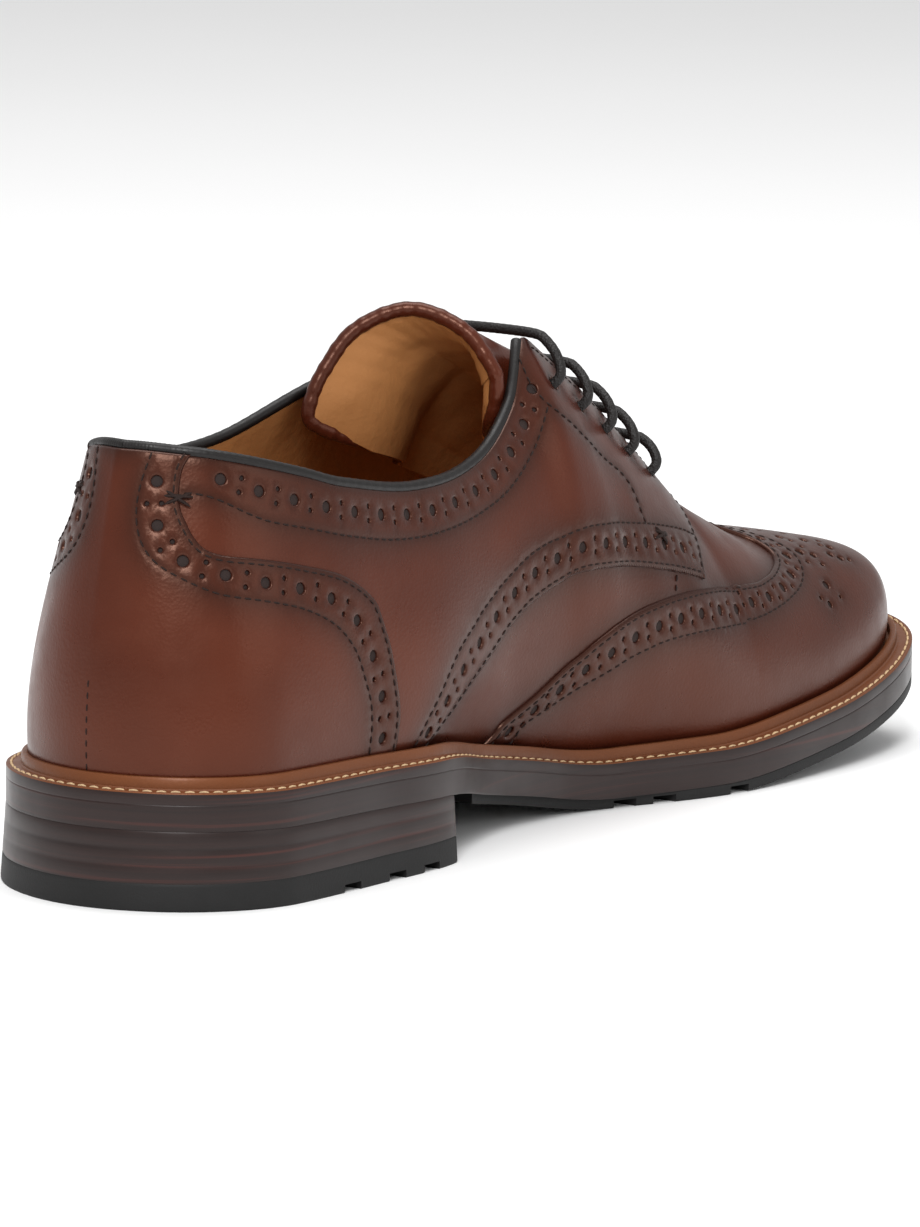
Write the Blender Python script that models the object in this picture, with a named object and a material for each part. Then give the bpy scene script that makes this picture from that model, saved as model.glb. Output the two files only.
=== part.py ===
"""A left brogue shoe, built piece by piece the way a shoemaker joins it.

The shoe stands on its heel and forepart, toe towards +X, inner side towards -Y.
Lengths are in metres. The tables hold shares of the named sizes that they follow.
"""

import math

import bmesh
import bpy
import numpy as np

# Driving sizes of the sole
LENGTH = 0.303
BALL_WIDTH = 0.102
HEEL_WIDTH = 0.076
TOE_SPRING = 0.018
WELT_THICKNESS = 0.0028
MIDSOLE_THICKNESS = 0.0056
TREAD_THICKNESS = 0.0026
HEEL_HEIGHT = 0.0177
HEEL_LENGTH = 0.091
TOP_LIFT_THICKNESS = 0.006
HEEL_FLARE = 0.0012
INSOLE_THICKNESS = 0.003

# Driving sizes of the welt's storm bead and of the upper
WELT_MARGIN_HEEL = 0.006
WELT_MARGIN_FRONT = 0.0066
BEAD_HEIGHT = 0.0028
BEAD_WIDTH = 0.0015
WALL = 0.0024
LEATHER_STEP = 0.0009
BACK_HEIGHT = 0.0735
INSTEP_HEIGHT = 0.102
COLLAR_WIDTH = 0.058
THROAT_WIDTH = 0.022

# Driving sizes of the tongue, the collar binding and the lace
TONGUE_THICKNESS = 0.0035
BINDING_RADIUS = 0.0011
LACE_RADIUS = 0.00135
LACE_BARS = 5
LACE_LIFT = 0.0014

# Tread notches
NOTCH_WIDTH = 0.006
NOTCH_DEPTH = 0.0018
NOTCH_REACH = 0.007

# Clearance between pieces that touch on the real shoe
GAP = 0.0003

# Mesh fineness: each span of the sole edge ends at a share and has a count
STATION_SPANS = ((0.30, 12), (0.52, 9), (0.622, 6), (0.64, 3), (1.00, 13))
WALL_ROWS = 11
PATCH_ROWS = 7
WING_ROWS = 9
TONGUE_ROWS = 9
TONGUE_COLUMNS = 10
CORD_SIDES = 8
BAR_POINTS = 8
SHARP_ANGLE = 35

# Small steps for directions, the distance under which corners merge, and the
# samples round the sole edge that find the middle of the footprint
EDGE_STEP = 0.004
WALL_STEP = 0.006
RIDGE_STEP = 0.01
MERGE = 0.000002
EDGE_SAMPLES = 400

# Where the welt widens, and where the instep is measured from, as shares
MARGIN_FROM = 0.25
MARGIN_TO = 0.55
BALL_AT = 0.60

# Sole edge: share of the length, then half widths on the inner and outer side.
# The first rows follow the heel width and the others the ball width.
HEEL_EDGE = (
    # share, inner, outer
    (0.000, 0.000, 0.000),
    (0.012, 0.212, 0.212),
    (0.030, 0.328, 0.328),
    (0.060, 0.434, 0.434),
    (0.090, 0.486, 0.486),
    (0.120, 0.500, 0.502),
    (0.200, 0.505, 0.506),
    (0.290, 0.500, 0.510),
)
BALL_EDGE = (
    # share, inner, outer
    (0.400, 0.278, 0.400),
    (0.480, 0.268, 0.445),
    (0.550, 0.298, 0.500),
    (0.600, 0.347, 0.538),
    (0.660, 0.400, 0.565),
    (0.720, 0.424, 0.558),
    (0.800, 0.428, 0.492),
    (0.870, 0.412, 0.395),
    (0.920, 0.382, 0.290),
    (0.960, 0.326, 0.180),
    (0.985, 0.240, 0.070),
    (1.000, 0.075, -0.075),
)

# Underside of the midsole: share of the length, then height.
# Heights are a share of the heel height, of the toe spring and of the tread.
UNDERSIDE = (
    # share, heel, spring, tread
    (0.000, 1.000, 0.000, 0.0),
    (0.290, 0.880, 0.000, 0.0),
    (0.360, 0.690, 0.000, 0.0),
    (0.480, 0.165, 0.000, 1.0),
    (0.560, 0.000, 0.000, 1.0),
    (0.650, 0.000, 0.000, 1.0),
    (0.720, 0.000, 0.085, 1.0),
    (0.860, 0.000, 0.400, 1.0),
    (1.000, 0.000, 1.000, 1.0),
)

# Top line of the upper, from the centre back along the collar, over the facing
# and down to the throat. Turn is the place along the sole edge, 0 at the heel
# and 1 at the toe. Along is a share of the length, side of the collar width or
# the throat width, rise of the back height or the instep height.
COLLAR_INNER = (
    # turn, along, side, rise, lean
    (0.000, 0.054, 0.000, 0.986, 14),
    (0.064, 0.060, 0.100, 0.984, 14),
    (0.111, 0.071, 0.190, 0.976, 14),
    (0.158, 0.089, 0.300, 0.962, 13),
    (0.205, 0.119, 0.392, 0.932, 11),
    (0.253, 0.160, 0.460, 0.887, 10),
    (0.295, 0.202, 0.492, 0.840, 10),
    (0.369, 0.295, 0.495, 0.790, 14),
    (0.436, 0.386, 0.435, 0.830, 26),
    (0.480, 0.452, 0.345, 0.970, 36),
)
COLLAR_OUTER = (
    # turn, along, side, rise, lean
    (0.000, 0.054, 0.000, 0.986, 14),
    (0.064, 0.060, 0.100, 0.984, 14),
    (0.111, 0.071, 0.190, 0.974, 14),
    (0.158, 0.089, 0.300, 0.950, 13),
    (0.205, 0.119, 0.392, 0.915, 11),
    (0.253, 0.160, 0.460, 0.880, 10),
    (0.295, 0.202, 0.492, 0.855, 11),
    (0.369, 0.290, 0.490, 0.875, 16),
    (0.436, 0.380, 0.435, 0.990, 28),
    (0.480, 0.446, 0.345, 1.085, 38),
)
FACING = (
    # turn, along, side, rise, lean
    (0.510, 0.495, 0.618, 0.985, 46),
    (0.525, 0.518, 0.568, 0.955, 50),
    (0.564, 0.586, 0.523, 0.832, 54),
    (0.600, 0.648, 0.477, 0.703, 58),
    (0.622, 0.688, 0.386, 0.620, 62),
    (0.632, 0.701, 0.227, 0.592, 72),
)
RIDGE = (
    # turn, along, side, rise, lean
    (0.640, 0.708, 0.000, 0.580, 90),
    (0.680, 0.746, 0.000, 0.520, 90),
    (0.720, 0.784, 0.000, 0.462, 90),
    (0.760, 0.816, 0.000, 0.434, 90),
    (0.800, 0.843, 0.000, 0.420, 90),
    (0.850, 0.863, 0.000, 0.410, 90),
    (0.920, 0.878, 0.000, 0.401, 90),
    (1.000, 0.884, 0.000, 0.397, 90),
)

# Fullness of the wall: outward flare in degrees at the sole edge, and the
# reach of the curve at its foot and at its top as shares of its height.
FULLNESS = (
    # turn, inner flare, outer flare, foot, top
    (0.000, 6, 6, 0.30, 0.34),
    (0.150, 7, 7, 0.30, 0.34),
    (0.300, 12, 12, 0.34, 0.34),
    (0.436, 32, 16, 0.36, 0.34),
    (0.520, 32, 18, 0.36, 0.32),
    (0.600, 20, 16, 0.36, 0.32),
    (0.700, 12, 14, 0.38, 0.40),
    (0.850, 8, 10, 0.52, 0.50),
    (1.000, 6, 6, 0.56, 0.52),
)

# Lower edge of the quarters and upper edge of the counter: turn and share of
# the wall's height.
QUARTER_EDGE = (
    # turn, height
    (0.366, 0.00),
    (0.381, 0.16),
    (0.400, 0.28),
    (0.431, 0.45),
    (0.469, 0.52),
    (0.513, 0.50),
    (0.581, 0.47),
    (0.606, 0.47),
)
COUNTER_EDGE = (
    # turn, height
    (0.000, 0.96),
    (0.120, 0.96),
    (0.135, 0.78),
    (0.165, 0.62),
    (0.250, 0.56),
    (0.300, 0.48),
    (0.325, 0.30),
    (0.334, 0.10),
)

# Edge of the wing cap, from the wing's tip at the welt to the peak on the
# ridge, keyed by the place on the sole edge that each point is reached from.
WING_EDGE = (
    # foot, turn, height
    (0.438, 0.438, 0.02),
    (0.460, 0.460, 0.17),
    (0.500, 0.500, 0.27),
    (0.562, 0.562, 0.37),
    (0.640, 0.640, 0.48),
    (0.740, 0.716, 0.57),
    (0.850, 0.748, 0.68),
    (0.910, 0.745, 0.78),
    (0.960, 0.715, 0.90),
    (1.000, 0.690, 1.00),
)
WING_BEND = 3.0
WING_BEND_FROM = 0.64

# Overlaid pieces: how deep they root in the wall, where they stop below the
# top line and above the sole, and how far the quarter runs under the counter
PATCH_ROOT = 0.00165
COUNTER_ROOT = 0.00145
WING_ROOT = 0.002
PATCH_FOOT = 0.012
PATCH_CROWN = 0.985
COUNTER_FOOT = 0.05
QUARTER_TUCK = 0.05
QUARTER_SLANT = 0.026
SLANT_FROM = 0.53

# Tongue: shares along the facing where it ends, and its spread
TONGUE_TOP = 0.53
TONGUE_FOOT = 0.637
TONGUE_BRIDGE = 0.36
TONGUE_DEPTH = 0.22
TONGUE_ARCH = 0.10

# Free edge of the tongue: spread from the inner to the outer side, along as a
# share of the length, side of the collar width and rise of the back height.
TONGUE_EDGE = (
    # spread, along, side, rise
    (-1.0, 0.452, -0.290, 1.070),
    (-0.5, 0.444, -0.150, 1.205),
    (0.0, 0.428, 0.070, 1.270),
    (0.5, 0.400, 0.260, 1.195),
    (1.0, 0.374, 0.345, 1.040),
)
TONGUE_PINCH = 0.40
TONGUE_CLEARANCE = 0.0009
TONGUE_FREE_ROWS = 3

# Binding and lace, as places along and down the facing
BINDING_END = 0.498
LACE_TOP = 0.520
LACE_FOOT = 0.600
BAR_BRIDGE = 0.55
BAR_DEPTH = 0.12

# Tread: where it starts, how it is set back under the waist, and the notches of
# the top lift and of the outsole as shares of the length
TREAD_FROM = 0.375
WAIST_INSET = 0.004
WAIST_FROM = 0.45
WAIST_TO = 0.60
LIFT_NOTCHES = (0.165, 0.220, 0.262)
SOLE_NOTCHES = (0.563, 0.597, 0.668)

# Storm bead: its distance from the upper, and the slope of its sides
BEAD_CLEARANCE = 0.0012
BEAD_SLOPE = 0.3

# Colours of the pieces
RUBBER = (0.03, 0.03, 0.03)
STACK = (0.07, 0.035, 0.028)
MIDSOLE = (0.06, 0.03, 0.025)
WELT = (0.20, 0.085, 0.03)
INSOLE = (0.42, 0.22, 0.09)
LEATHER = (0.13, 0.035, 0.02)
BINDING = (0.02, 0.018, 0.018)
CORD = (0.025, 0.02, 0.02)

# Sides of the shoe
INNER = -1.0
OUTER = 1.0


def smooth(table, key, column):
    """Read a column of a table at a key, along a smooth curve through its rows."""
    keys = [row[0] for row in table]
    key = min(max(key, keys[0]), keys[-1])
    i = min(sum(1 for k in keys if k <= key), len(keys) - 1) - 1

    def value(row):
        return table[row][column]

    def slope(row):
        before, after = max(row - 1, 0), min(row + 1, len(keys) - 1)
        turns_back = (value(row) - value(before)) * (value(after) - value(row)) <= 0
        if before < row < after and turns_back:
            return 0.0
        return (value(after) - value(before)) / (keys[after] - keys[before])

    width = keys[i + 1] - keys[i]
    s = (key - keys[i]) / width
    hermite = s * s * (3 - 2 * s)
    start = s * (1 - s) * (1 - s) * width * slope(i)
    end = s * s * (1 - s) * width * slope(i + 1)
    return value(i) + hermite * (value(i + 1) - value(i)) + start - end


def ease(share):
    share = min(max(share, 0.0), 1.0)
    return share * share * (3 - 2 * share)


# Turn is the place round the sole edge: 0 at the heel's back, up to 1 at the
# toe's tip along the inner side, and on to 2 at the heel along the outer side.


def side_and_share(turn):
    """Side of a turn, and how far it is from the heel towards the toe."""
    turn %= 2.0
    if turn <= 1.0:
        return INNER, turn
    return OUTER, 2.0 - turn


def turn_at(along):
    return math.acos(1 - 2 * along / LENGTH) / math.pi


def edge_loop():
    """Sideways place of the sole edge all round, with an overlap at the heel."""
    inner, outer = [], []
    for edge, width in ((HEEL_EDGE, HEEL_WIDTH), (BALL_EDGE, BALL_WIDTH)):
        for share, inner_share, outer_share in edge:
            turn = turn_at(share * LENGTH)
            inner.append((turn, INNER * inner_share * width))
            outer.append((turn, OUTER * outer_share * width))
    before = [(-turn, y) for turn, y in reversed(outer[1:4])]
    back = [(2.0 - turn, y) for turn, y in reversed(outer[:-1])]
    after = [(2.0 + turn, y) for turn, y in inner[1:4]]
    return before + inner + back + after


EDGE_LOOP = edge_loop()


def sole_edge(turn, inset=0.0):
    """Point of the sole edge in plan moved inwards, and the outward direction."""
    def point(at):
        return np.array([LENGTH * (1 - math.cos(math.pi * at)) / 2, smooth(EDGE_LOOP, at, 1)])

    turn %= 2.0
    tangent = point(turn + EDGE_STEP) - point(turn - EDGE_STEP)
    tangent /= np.linalg.norm(tangent)
    outward = np.array([tangent[1], -tangent[0]])
    return point(turn) - outward * inset, outward


def midsole_bottom(along):
    """Height of the midsole's underside at a place along the shoe."""
    share = along / LENGTH
    heel = smooth(UNDERSIDE, share, 1) * HEEL_HEIGHT
    spring = smooth(UNDERSIDE, share, 2) * TOE_SPRING
    return heel + spring + smooth(UNDERSIDE, share, 3) * TREAD_THICKNESS


def midsole_top(along):
    return midsole_bottom(along) + MIDSOLE_THICKNESS


def welt_bottom(along):
    return midsole_top(along) + GAP


def welt_top(along):
    return welt_bottom(along) + WELT_THICKNESS


def welt_margin(turn):
    """Width of the welt outside the upper, narrower at the heel."""
    share = side_and_share(turn)[1]
    front = ease((share - MARGIN_FROM) / (MARGIN_TO - MARGIN_FROM))
    return WELT_MARGIN_HEEL + (WELT_MARGIN_FRONT - WELT_MARGIN_HEEL) * front


def top_line_rows(side):
    """Top line in metres: turn, along, sideways, height, lean in degrees."""
    rows = []
    seat = welt_top(0.0)
    for turn, along, out, rise, lean in COLLAR_INNER if side == INNER else COLLAR_OUTER:
        rows.append((turn, along * LENGTH, side * out * COLLAR_WIDTH, seat + rise * BACK_HEIGHT, lean))
    ball = welt_top(BALL_AT * LENGTH)
    for turn, along, out, rise, lean in FACING + RIDGE:
        rows.append((turn, along * LENGTH, side * out * THROAT_WIDTH, ball + rise * INSTEP_HEIGHT, lean))
    return rows


TOP_LINE = {INNER: top_line_rows(INNER), OUTER: top_line_rows(OUTER)}
THROAT_TURN = RIDGE[0][0]


def top_line(turn):
    side, share = side_and_share(turn)
    return np.array([smooth(TOP_LINE[side], share, column) for column in (1, 2, 3)])


def ridge_slope(turn):
    """Rise of the ridge per length at a turn past the throat."""
    share = min(max(side_and_share(turn)[1], THROAT_TURN + RIDGE_STEP), 1.0 - 2 * RIDGE_STEP)
    run = top_line(share + RIDGE_STEP) - top_line(share - RIDGE_STEP)
    return run[2] / run[0]


def is_ridge(turn):
    return side_and_share(turn)[1] > THROAT_TURN - MERGE


def wall_curve(turn):
    """The four control points of the wall's curve, from the sole to the top line."""
    side, share = side_and_share(turn)
    plan, outward = sole_edge(turn, welt_margin(turn))
    foot = np.array([plan[0], plan[1], welt_top(plan[0]) + GAP])
    top = top_line(turn)
    reach = np.linalg.norm(top - foot)
    flare = math.radians(smooth(FULLNESS, share, 1 if side == INNER else 2))
    lean = math.radians(smooth(TOP_LINE[side], share, 4))
    foot_way = np.array([*(outward * math.sin(flare)), math.cos(flare)])
    top_way = np.array([*(outward * -math.sin(lean)), math.cos(lean)])
    if is_ridge(turn):
        top_way[2] = ridge_slope(turn) * top_way[0]
    low = foot + foot_way * reach * smooth(FULLNESS, share, 3)
    high = top - top_way * reach * smooth(FULLNESS, share, 4)
    return foot, low, high, top


def wall_point(turn, height):
    """Point of the upper's outer form; height runs from 0 at the sole to 1."""
    foot, low, high, top = wall_curve(turn)
    rest = 1 - height
    return rest**3 * foot + 3 * height * rest**2 * low + 3 * height**2 * rest * high + height**3 * top


def wall_normal(turn, height):
    """Outward direction of the upper's form."""
    if is_ridge(turn) and height > 1 - MERGE:
        slope = ridge_slope(turn)
        return np.array([-slope, 0.0, 1.0]) / math.hypot(slope, 1.0)
    along = wall_point(turn + WALL_STEP, height) - wall_point(turn - WALL_STEP, height)
    above = wall_point(turn, min(height + WALL_STEP, 1.0))
    below = wall_point(turn, max(height - WALL_STEP, 0.0))
    normal = np.cross(along, above - below)
    return normal / np.linalg.norm(normal)


def wall_offset(turn, height, distance):
    return wall_point(turn, height) + wall_normal(turn, height) * distance


def turn_stations():
    """Places along one side, from heel to toe, closer together at the throat."""
    stations = [0.0]
    for end, count in STATION_SPANS:
        start = stations[-1]
        stations += [start + (end - start) * (i + 1) / count for i in range(count)]
    return stations


SHARES = turn_stations()
AROUND = SHARES + [2.0 - share for share in reversed(SHARES[1:-1])]


def turns_between(start, end):
    """The stations between two turns, with the two turns themselves."""
    stations = [turn + lap for lap in (-2.0, 0.0) for turn in AROUND]
    inside = [turn for turn in stations if start + WALL_STEP < turn < end - WALL_STEP]
    return [start, *inside, end]


# Objects, collections and materials
for old in list(bpy.data.objects):
    bpy.data.objects.remove(old, do_unlink=True)

SHOE = bpy.data.collections.new("brogue_shoe")
GUIDES = bpy.data.collections.new("guides")
bpy.context.scene.collection.children.link(SHOE)
bpy.context.scene.collection.children.link(GUIDES)


def make_material(name, colour, roughness):
    material = bpy.data.materials.new(name)
    material.use_nodes = True
    shader = material.node_tree.nodes["Principled BSDF"]
    shader.inputs["Base Color"].default_value = (*colour, 1.0)
    shader.inputs["Roughness"].default_value = roughness
    shader.inputs["Metallic"].default_value = 0.0
    return material


def add_piece(name, mesh, colour, roughness):
    """A named piece of the shoe with its own material."""
    piece = bpy.data.objects.new(name, mesh)
    SHOE.objects.link(piece)
    piece.parent = FOOTING
    mesh.materials.clear()
    mesh.materials.append(make_material(name, colour, roughness))
    mesh.shade_smooth()
    mesh.set_sharp_from_angle(angle=math.radians(SHARP_ANGLE))
    return piece


def add_guide(name, mesh):
    """A hidden shape that cuts or joins a piece."""
    guide = bpy.data.objects.new(name, mesh)
    GUIDES.objects.link(guide)
    guide.parent = FOOTING
    guide.hide_render = True
    guide.display_type = "WIRE"
    return guide


def combine(piece, guide, operation):
    change = piece.modifiers.new(guide.name, "BOOLEAN")
    change.operation = operation
    change.solver = "EXACT"
    change.object = guide


def closed_mesh(name, points, faces):
    """A closed mesh from points and faces, with shared corners welded."""
    shape = bmesh.new()
    corners = [shape.verts.new(point) for point in points]
    for face in faces:
        shape.faces.new([corners[i] for i in face])
    bmesh.ops.remove_doubles(shape, verts=shape.verts, dist=MERGE)
    bmesh.ops.dissolve_degenerate(shape, edges=shape.edges, dist=MERGE)
    bmesh.ops.triangulate(shape, faces=shape.faces)
    bmesh.ops.recalc_face_normals(shape, faces=shape.faces)
    mesh = bpy.data.meshes.new(name)
    shape.to_mesh(mesh)
    shape.free()
    return mesh


def skin(rings, closed_path=False):
    """Faces that join each closed ring of points to the next one."""
    size = len(rings[0])
    faces = []
    for i in range(len(rings) if closed_path else len(rings) - 1):
        a, b = i * size, ((i + 1) % len(rings)) * size
        for j in range(size):
            k = (j + 1) % size
            faces.append((a + j, a + k, b + k, b + j))
    if not closed_path:
        faces.append(tuple(range(size)))
        faces.append(tuple(range((len(rings) - 1) * size, len(rings) * size)))
    return faces


def ring_mesh(name, rings, closed_path=False):
    points = [point for ring in rings for point in ring]
    return closed_mesh(name, points, skin(rings, closed_path))


def slab_mesh(name, shares, low, high, square=None):
    """A layer of the sole. Low and high each give an inset and a height.

    Square gives a straight end across the shoe at a place along it.
    """
    rings = []
    for share in shares:
        ring = []
        for (inset, height), turn in ((low, share), (low, 2 - share), (high, 2 - share), (high, share)):
            plan, _ = sole_edge(turn, inset(turn))
            along = square if square is not None and abs(turn_at(square) - share) < MERGE else plan[0]
            ring.append((along, plan[1], height(along)))
        rings.append(ring)
    return ring_mesh(name, rings)


def place_key(turn, height):
    """One key for each place, the same from both sides along the ridge."""
    side, share = side_and_share(turn)
    on_ridge = is_ridge(turn) and height > 1 - MERGE
    if on_ridge or share < MERGE or share > 1 - MERGE:
        side = 0.0
    return side, round(share, 6), round(height, 6)


def sheet_mesh(name, grid, outside, inside):
    """A closed solid over a grid of places on the wall, between two offsets."""
    numbers, places = {}, []

    def number(place):
        key = place_key(*place)
        if key not in numbers:
            numbers[key] = len(places)
            places.append(place)
        return numbers[key]

    rows = [[number(place) for place in row] for row in grid]
    faces = []
    for row, after in zip(rows, rows[1:]):
        for j in range(len(row) - 1):
            face = list(dict.fromkeys((row[j], after[j], after[j + 1], row[j + 1])))
            if len(face) > 2:
                faces.append(face)
    sides = {(face[i - 1], face[i]) for face in faces for i in range(len(face))}
    rims = [(b, a) for a, b in sides if (b, a) not in sides]
    count = len(places)
    solid = list(faces)
    solid += [[i + count for i in reversed(face)] for face in faces]
    solid += [(a, b, b + count, a + count) for a, b in rims]
    points = [wall_offset(*place, outside) for place in places]
    points += [wall_offset(*place, inside) for place in places]
    return closed_mesh(name, points, solid)


# The sole, from the floor up


def flush(turn):
    return 0.0


def at_height(height):
    return lambda along: height


def heel_shares():
    return turns_between(0.0, turn_at(HEEL_LENGTH))


def flare_at(height):
    """Inset of the heel's side at a height: it spreads towards the floor."""
    inset = HEEL_FLARE * (height / HEEL_HEIGHT - 1)
    return lambda turn: inset


def notch_guide(name, places, floor, reach):
    """Boxes that cut notches in the lower edge on both sides."""
    shape = bmesh.new()
    for along in places:
        share = turn_at(along * LENGTH)
        for turn in (share, 2 - share):
            plan, _ = sole_edge(turn)
            box = bmesh.ops.create_cube(shape, size=1.0)["verts"]
            size = (NOTCH_WIDTH, 2 * reach, 2 * NOTCH_DEPTH)
            bmesh.ops.scale(shape, vec=size, verts=box)
            bmesh.ops.translate(shape, vec=(plan[0], plan[1], floor(plan[0])), verts=box)
    mesh = bpy.data.meshes.new(name)
    shape.to_mesh(mesh)
    shape.free()
    return add_guide(name, mesh)


def make_top_lift():
    low = (flare_at(0.0), at_height(0.0))
    high = (flare_at(TOP_LIFT_THICKNESS), at_height(TOP_LIFT_THICKNESS))
    mesh = slab_mesh("heel_top_lift", heel_shares(), low, high, HEEL_LENGTH)
    lift = add_piece("heel_top_lift", mesh, RUBBER, 0.6)
    combine(lift, notch_guide("lift_notches", LIFT_NOTCHES, at_height(0.0), NOTCH_REACH), "DIFFERENCE")


def make_heel_stack():
    bottom = TOP_LIFT_THICKNESS + GAP
    low = (flare_at(bottom), at_height(bottom))
    high = (flare_at(HEEL_HEIGHT), lambda along: midsole_bottom(along) - GAP)
    mesh = slab_mesh("heel_stack", heel_shares(), low, high, HEEL_LENGTH)
    add_piece("heel_stack", mesh, STACK, 0.45)


def tread_inset(turn):
    """The tread is set back under the waist and comes out flush at the ball."""
    share = side_and_share(turn)[1]
    return WAIST_INSET * (1 - ease((share - WAIST_FROM) / (WAIST_TO - WAIST_FROM)))


def tread_bottom(along):
    return midsole_bottom(along) - GAP - TREAD_THICKNESS


def make_outsole():
    start = TREAD_FROM * LENGTH
    low = (tread_inset, lambda along: tread_bottom(along) + GAP)
    high = (tread_inset, lambda along: midsole_bottom(along) - GAP)
    mesh = slab_mesh("outsole", turns_between(turn_at(start), 1.0), low, high, start)
    sole = add_piece("outsole", mesh, RUBBER, 0.6)
    combine(sole, notch_guide("sole_notches", SOLE_NOTCHES, tread_bottom, NOTCH_REACH), "DIFFERENCE")


def make_midsole():
    mesh = slab_mesh("midsole", SHARES, (flush, midsole_bottom), (flush, midsole_top))
    add_piece("midsole", mesh, MIDSOLE, 0.45)


def welt_section(turn):
    """Corners of the welt: how far in from the edge, and above its underside."""
    side, share = side_and_share(turn)
    margin = welt_margin(turn)
    flare = math.radians(smooth(FULLNESS, share, 1 if side == INNER else 2))
    bead_in = margin - BEAD_CLEARANCE - BEAD_HEIGHT * math.tan(flare)
    bead_out = bead_in - BEAD_WIDTH
    top = WELT_THICKNESS
    bead_top = top + BEAD_HEIGHT
    slope = BEAD_WIDTH * BEAD_SLOPE
    return (
        (0.0, 0.0),
        (0.0, top),
        (bead_out - slope, top),
        (bead_out, bead_top - slope),
        (bead_out + slope, bead_top),
        (bead_in, bead_top - slope),
        (bead_in, top),
        (margin + WALL, top),
        (margin + WALL, 0.0),
    )


def make_welt():
    rings = []
    for turn in AROUND:
        ring = []
        for inset, above in welt_section(turn):
            plan, _ = sole_edge(turn, inset)
            ring.append((plan[0], plan[1], welt_bottom(plan[0]) + above))
        rings.append(ring)
    mesh = ring_mesh("welt", rings, closed_path=True)
    add_piece("welt", mesh, WELT, 0.5)


def insole_inset(turn):
    return welt_margin(turn) + WALL + GAP


def make_insole():
    top = GAP + WELT_THICKNESS + INSOLE_THICKNESS
    low = (insole_inset, welt_bottom)
    high = (insole_inset, lambda along: midsole_top(along) + top)
    mesh = slab_mesh("insole", SHARES, low, high)
    add_piece("insole", mesh, INSOLE, 0.7)


# The upper and its overlaid pieces


def make_upper():
    heights = [row / WALL_ROWS for row in range(WALL_ROWS + 1)]
    grid = [[(turn, height) for height in heights] for turn in (*AROUND, AROUND[0])]
    mesh = sheet_mesh("upper", grid, -LEATHER_STEP, -WALL)
    upper = add_piece("upper", mesh, LEATHER, 0.35)
    for guide in (quarter(INNER), quarter(OUTER), wing_cap(), counter()):
        combine(upper, guide, "UNION")


def band_rows(turns, low, high):
    """Grid of places between a lower and an upper height at each turn."""
    grid = []
    for turn in turns:
        foot, crown = low(turn), high(turn)
        grid.append([(turn, foot + (crown - foot) * i / PATCH_ROWS) for i in range(PATCH_ROWS + 1)])
    return grid


def quarter(side):
    """The quarter with its facing, lying over the vamp."""
    first, last = QUARTER_EDGE[0][0] - QUARTER_TUCK, QUARTER_EDGE[-1][0]

    def foot(turn):
        share = side_and_share(turn)[1]
        return max(smooth(QUARTER_EDGE, share, 1), PATCH_FOOT)

    grid = []
    for row in band_rows(turns_between(first, last), foot, lambda turn: PATCH_CROWN):
        slant = QUARTER_SLANT * ease((row[0][0] - SLANT_FROM) / (last - SLANT_FROM))
        low, high = row[0][1], row[-1][1]
        leaned = [(turn + slant * (height - low) / (high - low), height) for turn, height in row]
        grid.append([(turn if side == INNER else 2 - turn, height) for turn, height in leaned])
    name = "quarter_inner" if side == INNER else "quarter_outer"
    return add_guide(name, sheet_mesh(name, grid, 0.0, -PATCH_ROOT))


def counter():
    """The heel counter with its strip up the back, over both quarters."""
    last = COUNTER_EDGE[-1][0]

    def crown(turn):
        return smooth(COUNTER_EDGE, side_and_share(turn)[1], 1)

    grid = band_rows(turns_between(-last, last), lambda turn: COUNTER_FOOT, crown)
    return add_guide("counter", sheet_mesh("counter", grid, LEATHER_STEP, -COUNTER_ROOT))


def wing_place(foot_turn, rise):
    """Place on the cap, up from the sole edge and then back to the cap's edge.

    Near the toe the path bends, so that the middle one runs along the ridge.
    """
    side, foot = side_and_share(foot_turn)
    turn, height = smooth(WING_EDGE, foot, 1), smooth(WING_EDGE, foot, 2)
    bend = 1 + WING_BEND * ease((foot - WING_BEND_FROM) / (1 - WING_BEND_FROM))
    climb = 1 - (1 - rise) ** bend
    back = rise**bend
    if foot > 1 - MERGE:
        climb = min(2 * rise, 1.0)
        back = max(2 * rise - 1, 0.0)
    here = foot + (turn - foot) * back
    level = PATCH_FOOT + (max(height, 2 * PATCH_FOOT) - PATCH_FOOT) * climb
    return (here if side == INNER else 2.0 - here), level


def wing_cap():
    """The toe cap with its wings, over the vamp."""
    tip = WING_EDGE[0][0]
    grid = [
        [wing_place(turn, row / WING_ROWS) for row in range(WING_ROWS + 1)]
        for turn in turns_between(tip, 2.0 - tip)
    ]
    return add_guide("wing_cap", sheet_mesh("wing_cap", grid, 0.0, -WING_ROOT))


# Tongue, collar binding and lace


def facing_section(share, spread):
    """Line across the instep inside the upper; spread runs from -1 to 1."""
    depth = -WALL - TONGUE_CLEARANCE
    reach = abs(spread)
    if reach > TONGUE_BRIDGE:
        height = 1.0 - (reach - TONGUE_BRIDGE) / (1 - TONGUE_BRIDGE) * TONGUE_DEPTH
        return wall_offset(share if spread < 0 else 2.0 - share, height, depth)
    inner, outer = wall_offset(share, 1.0, depth), wall_offset(2.0 - share, 1.0, depth)
    across = spread / TONGUE_BRIDGE
    arch = TONGUE_ARCH * THROAT_WIDTH * (1 - across**2)
    return inner + (outer - inner) * (across + 1) / 2 + np.array([0.0, 0.0, arch])


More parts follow.
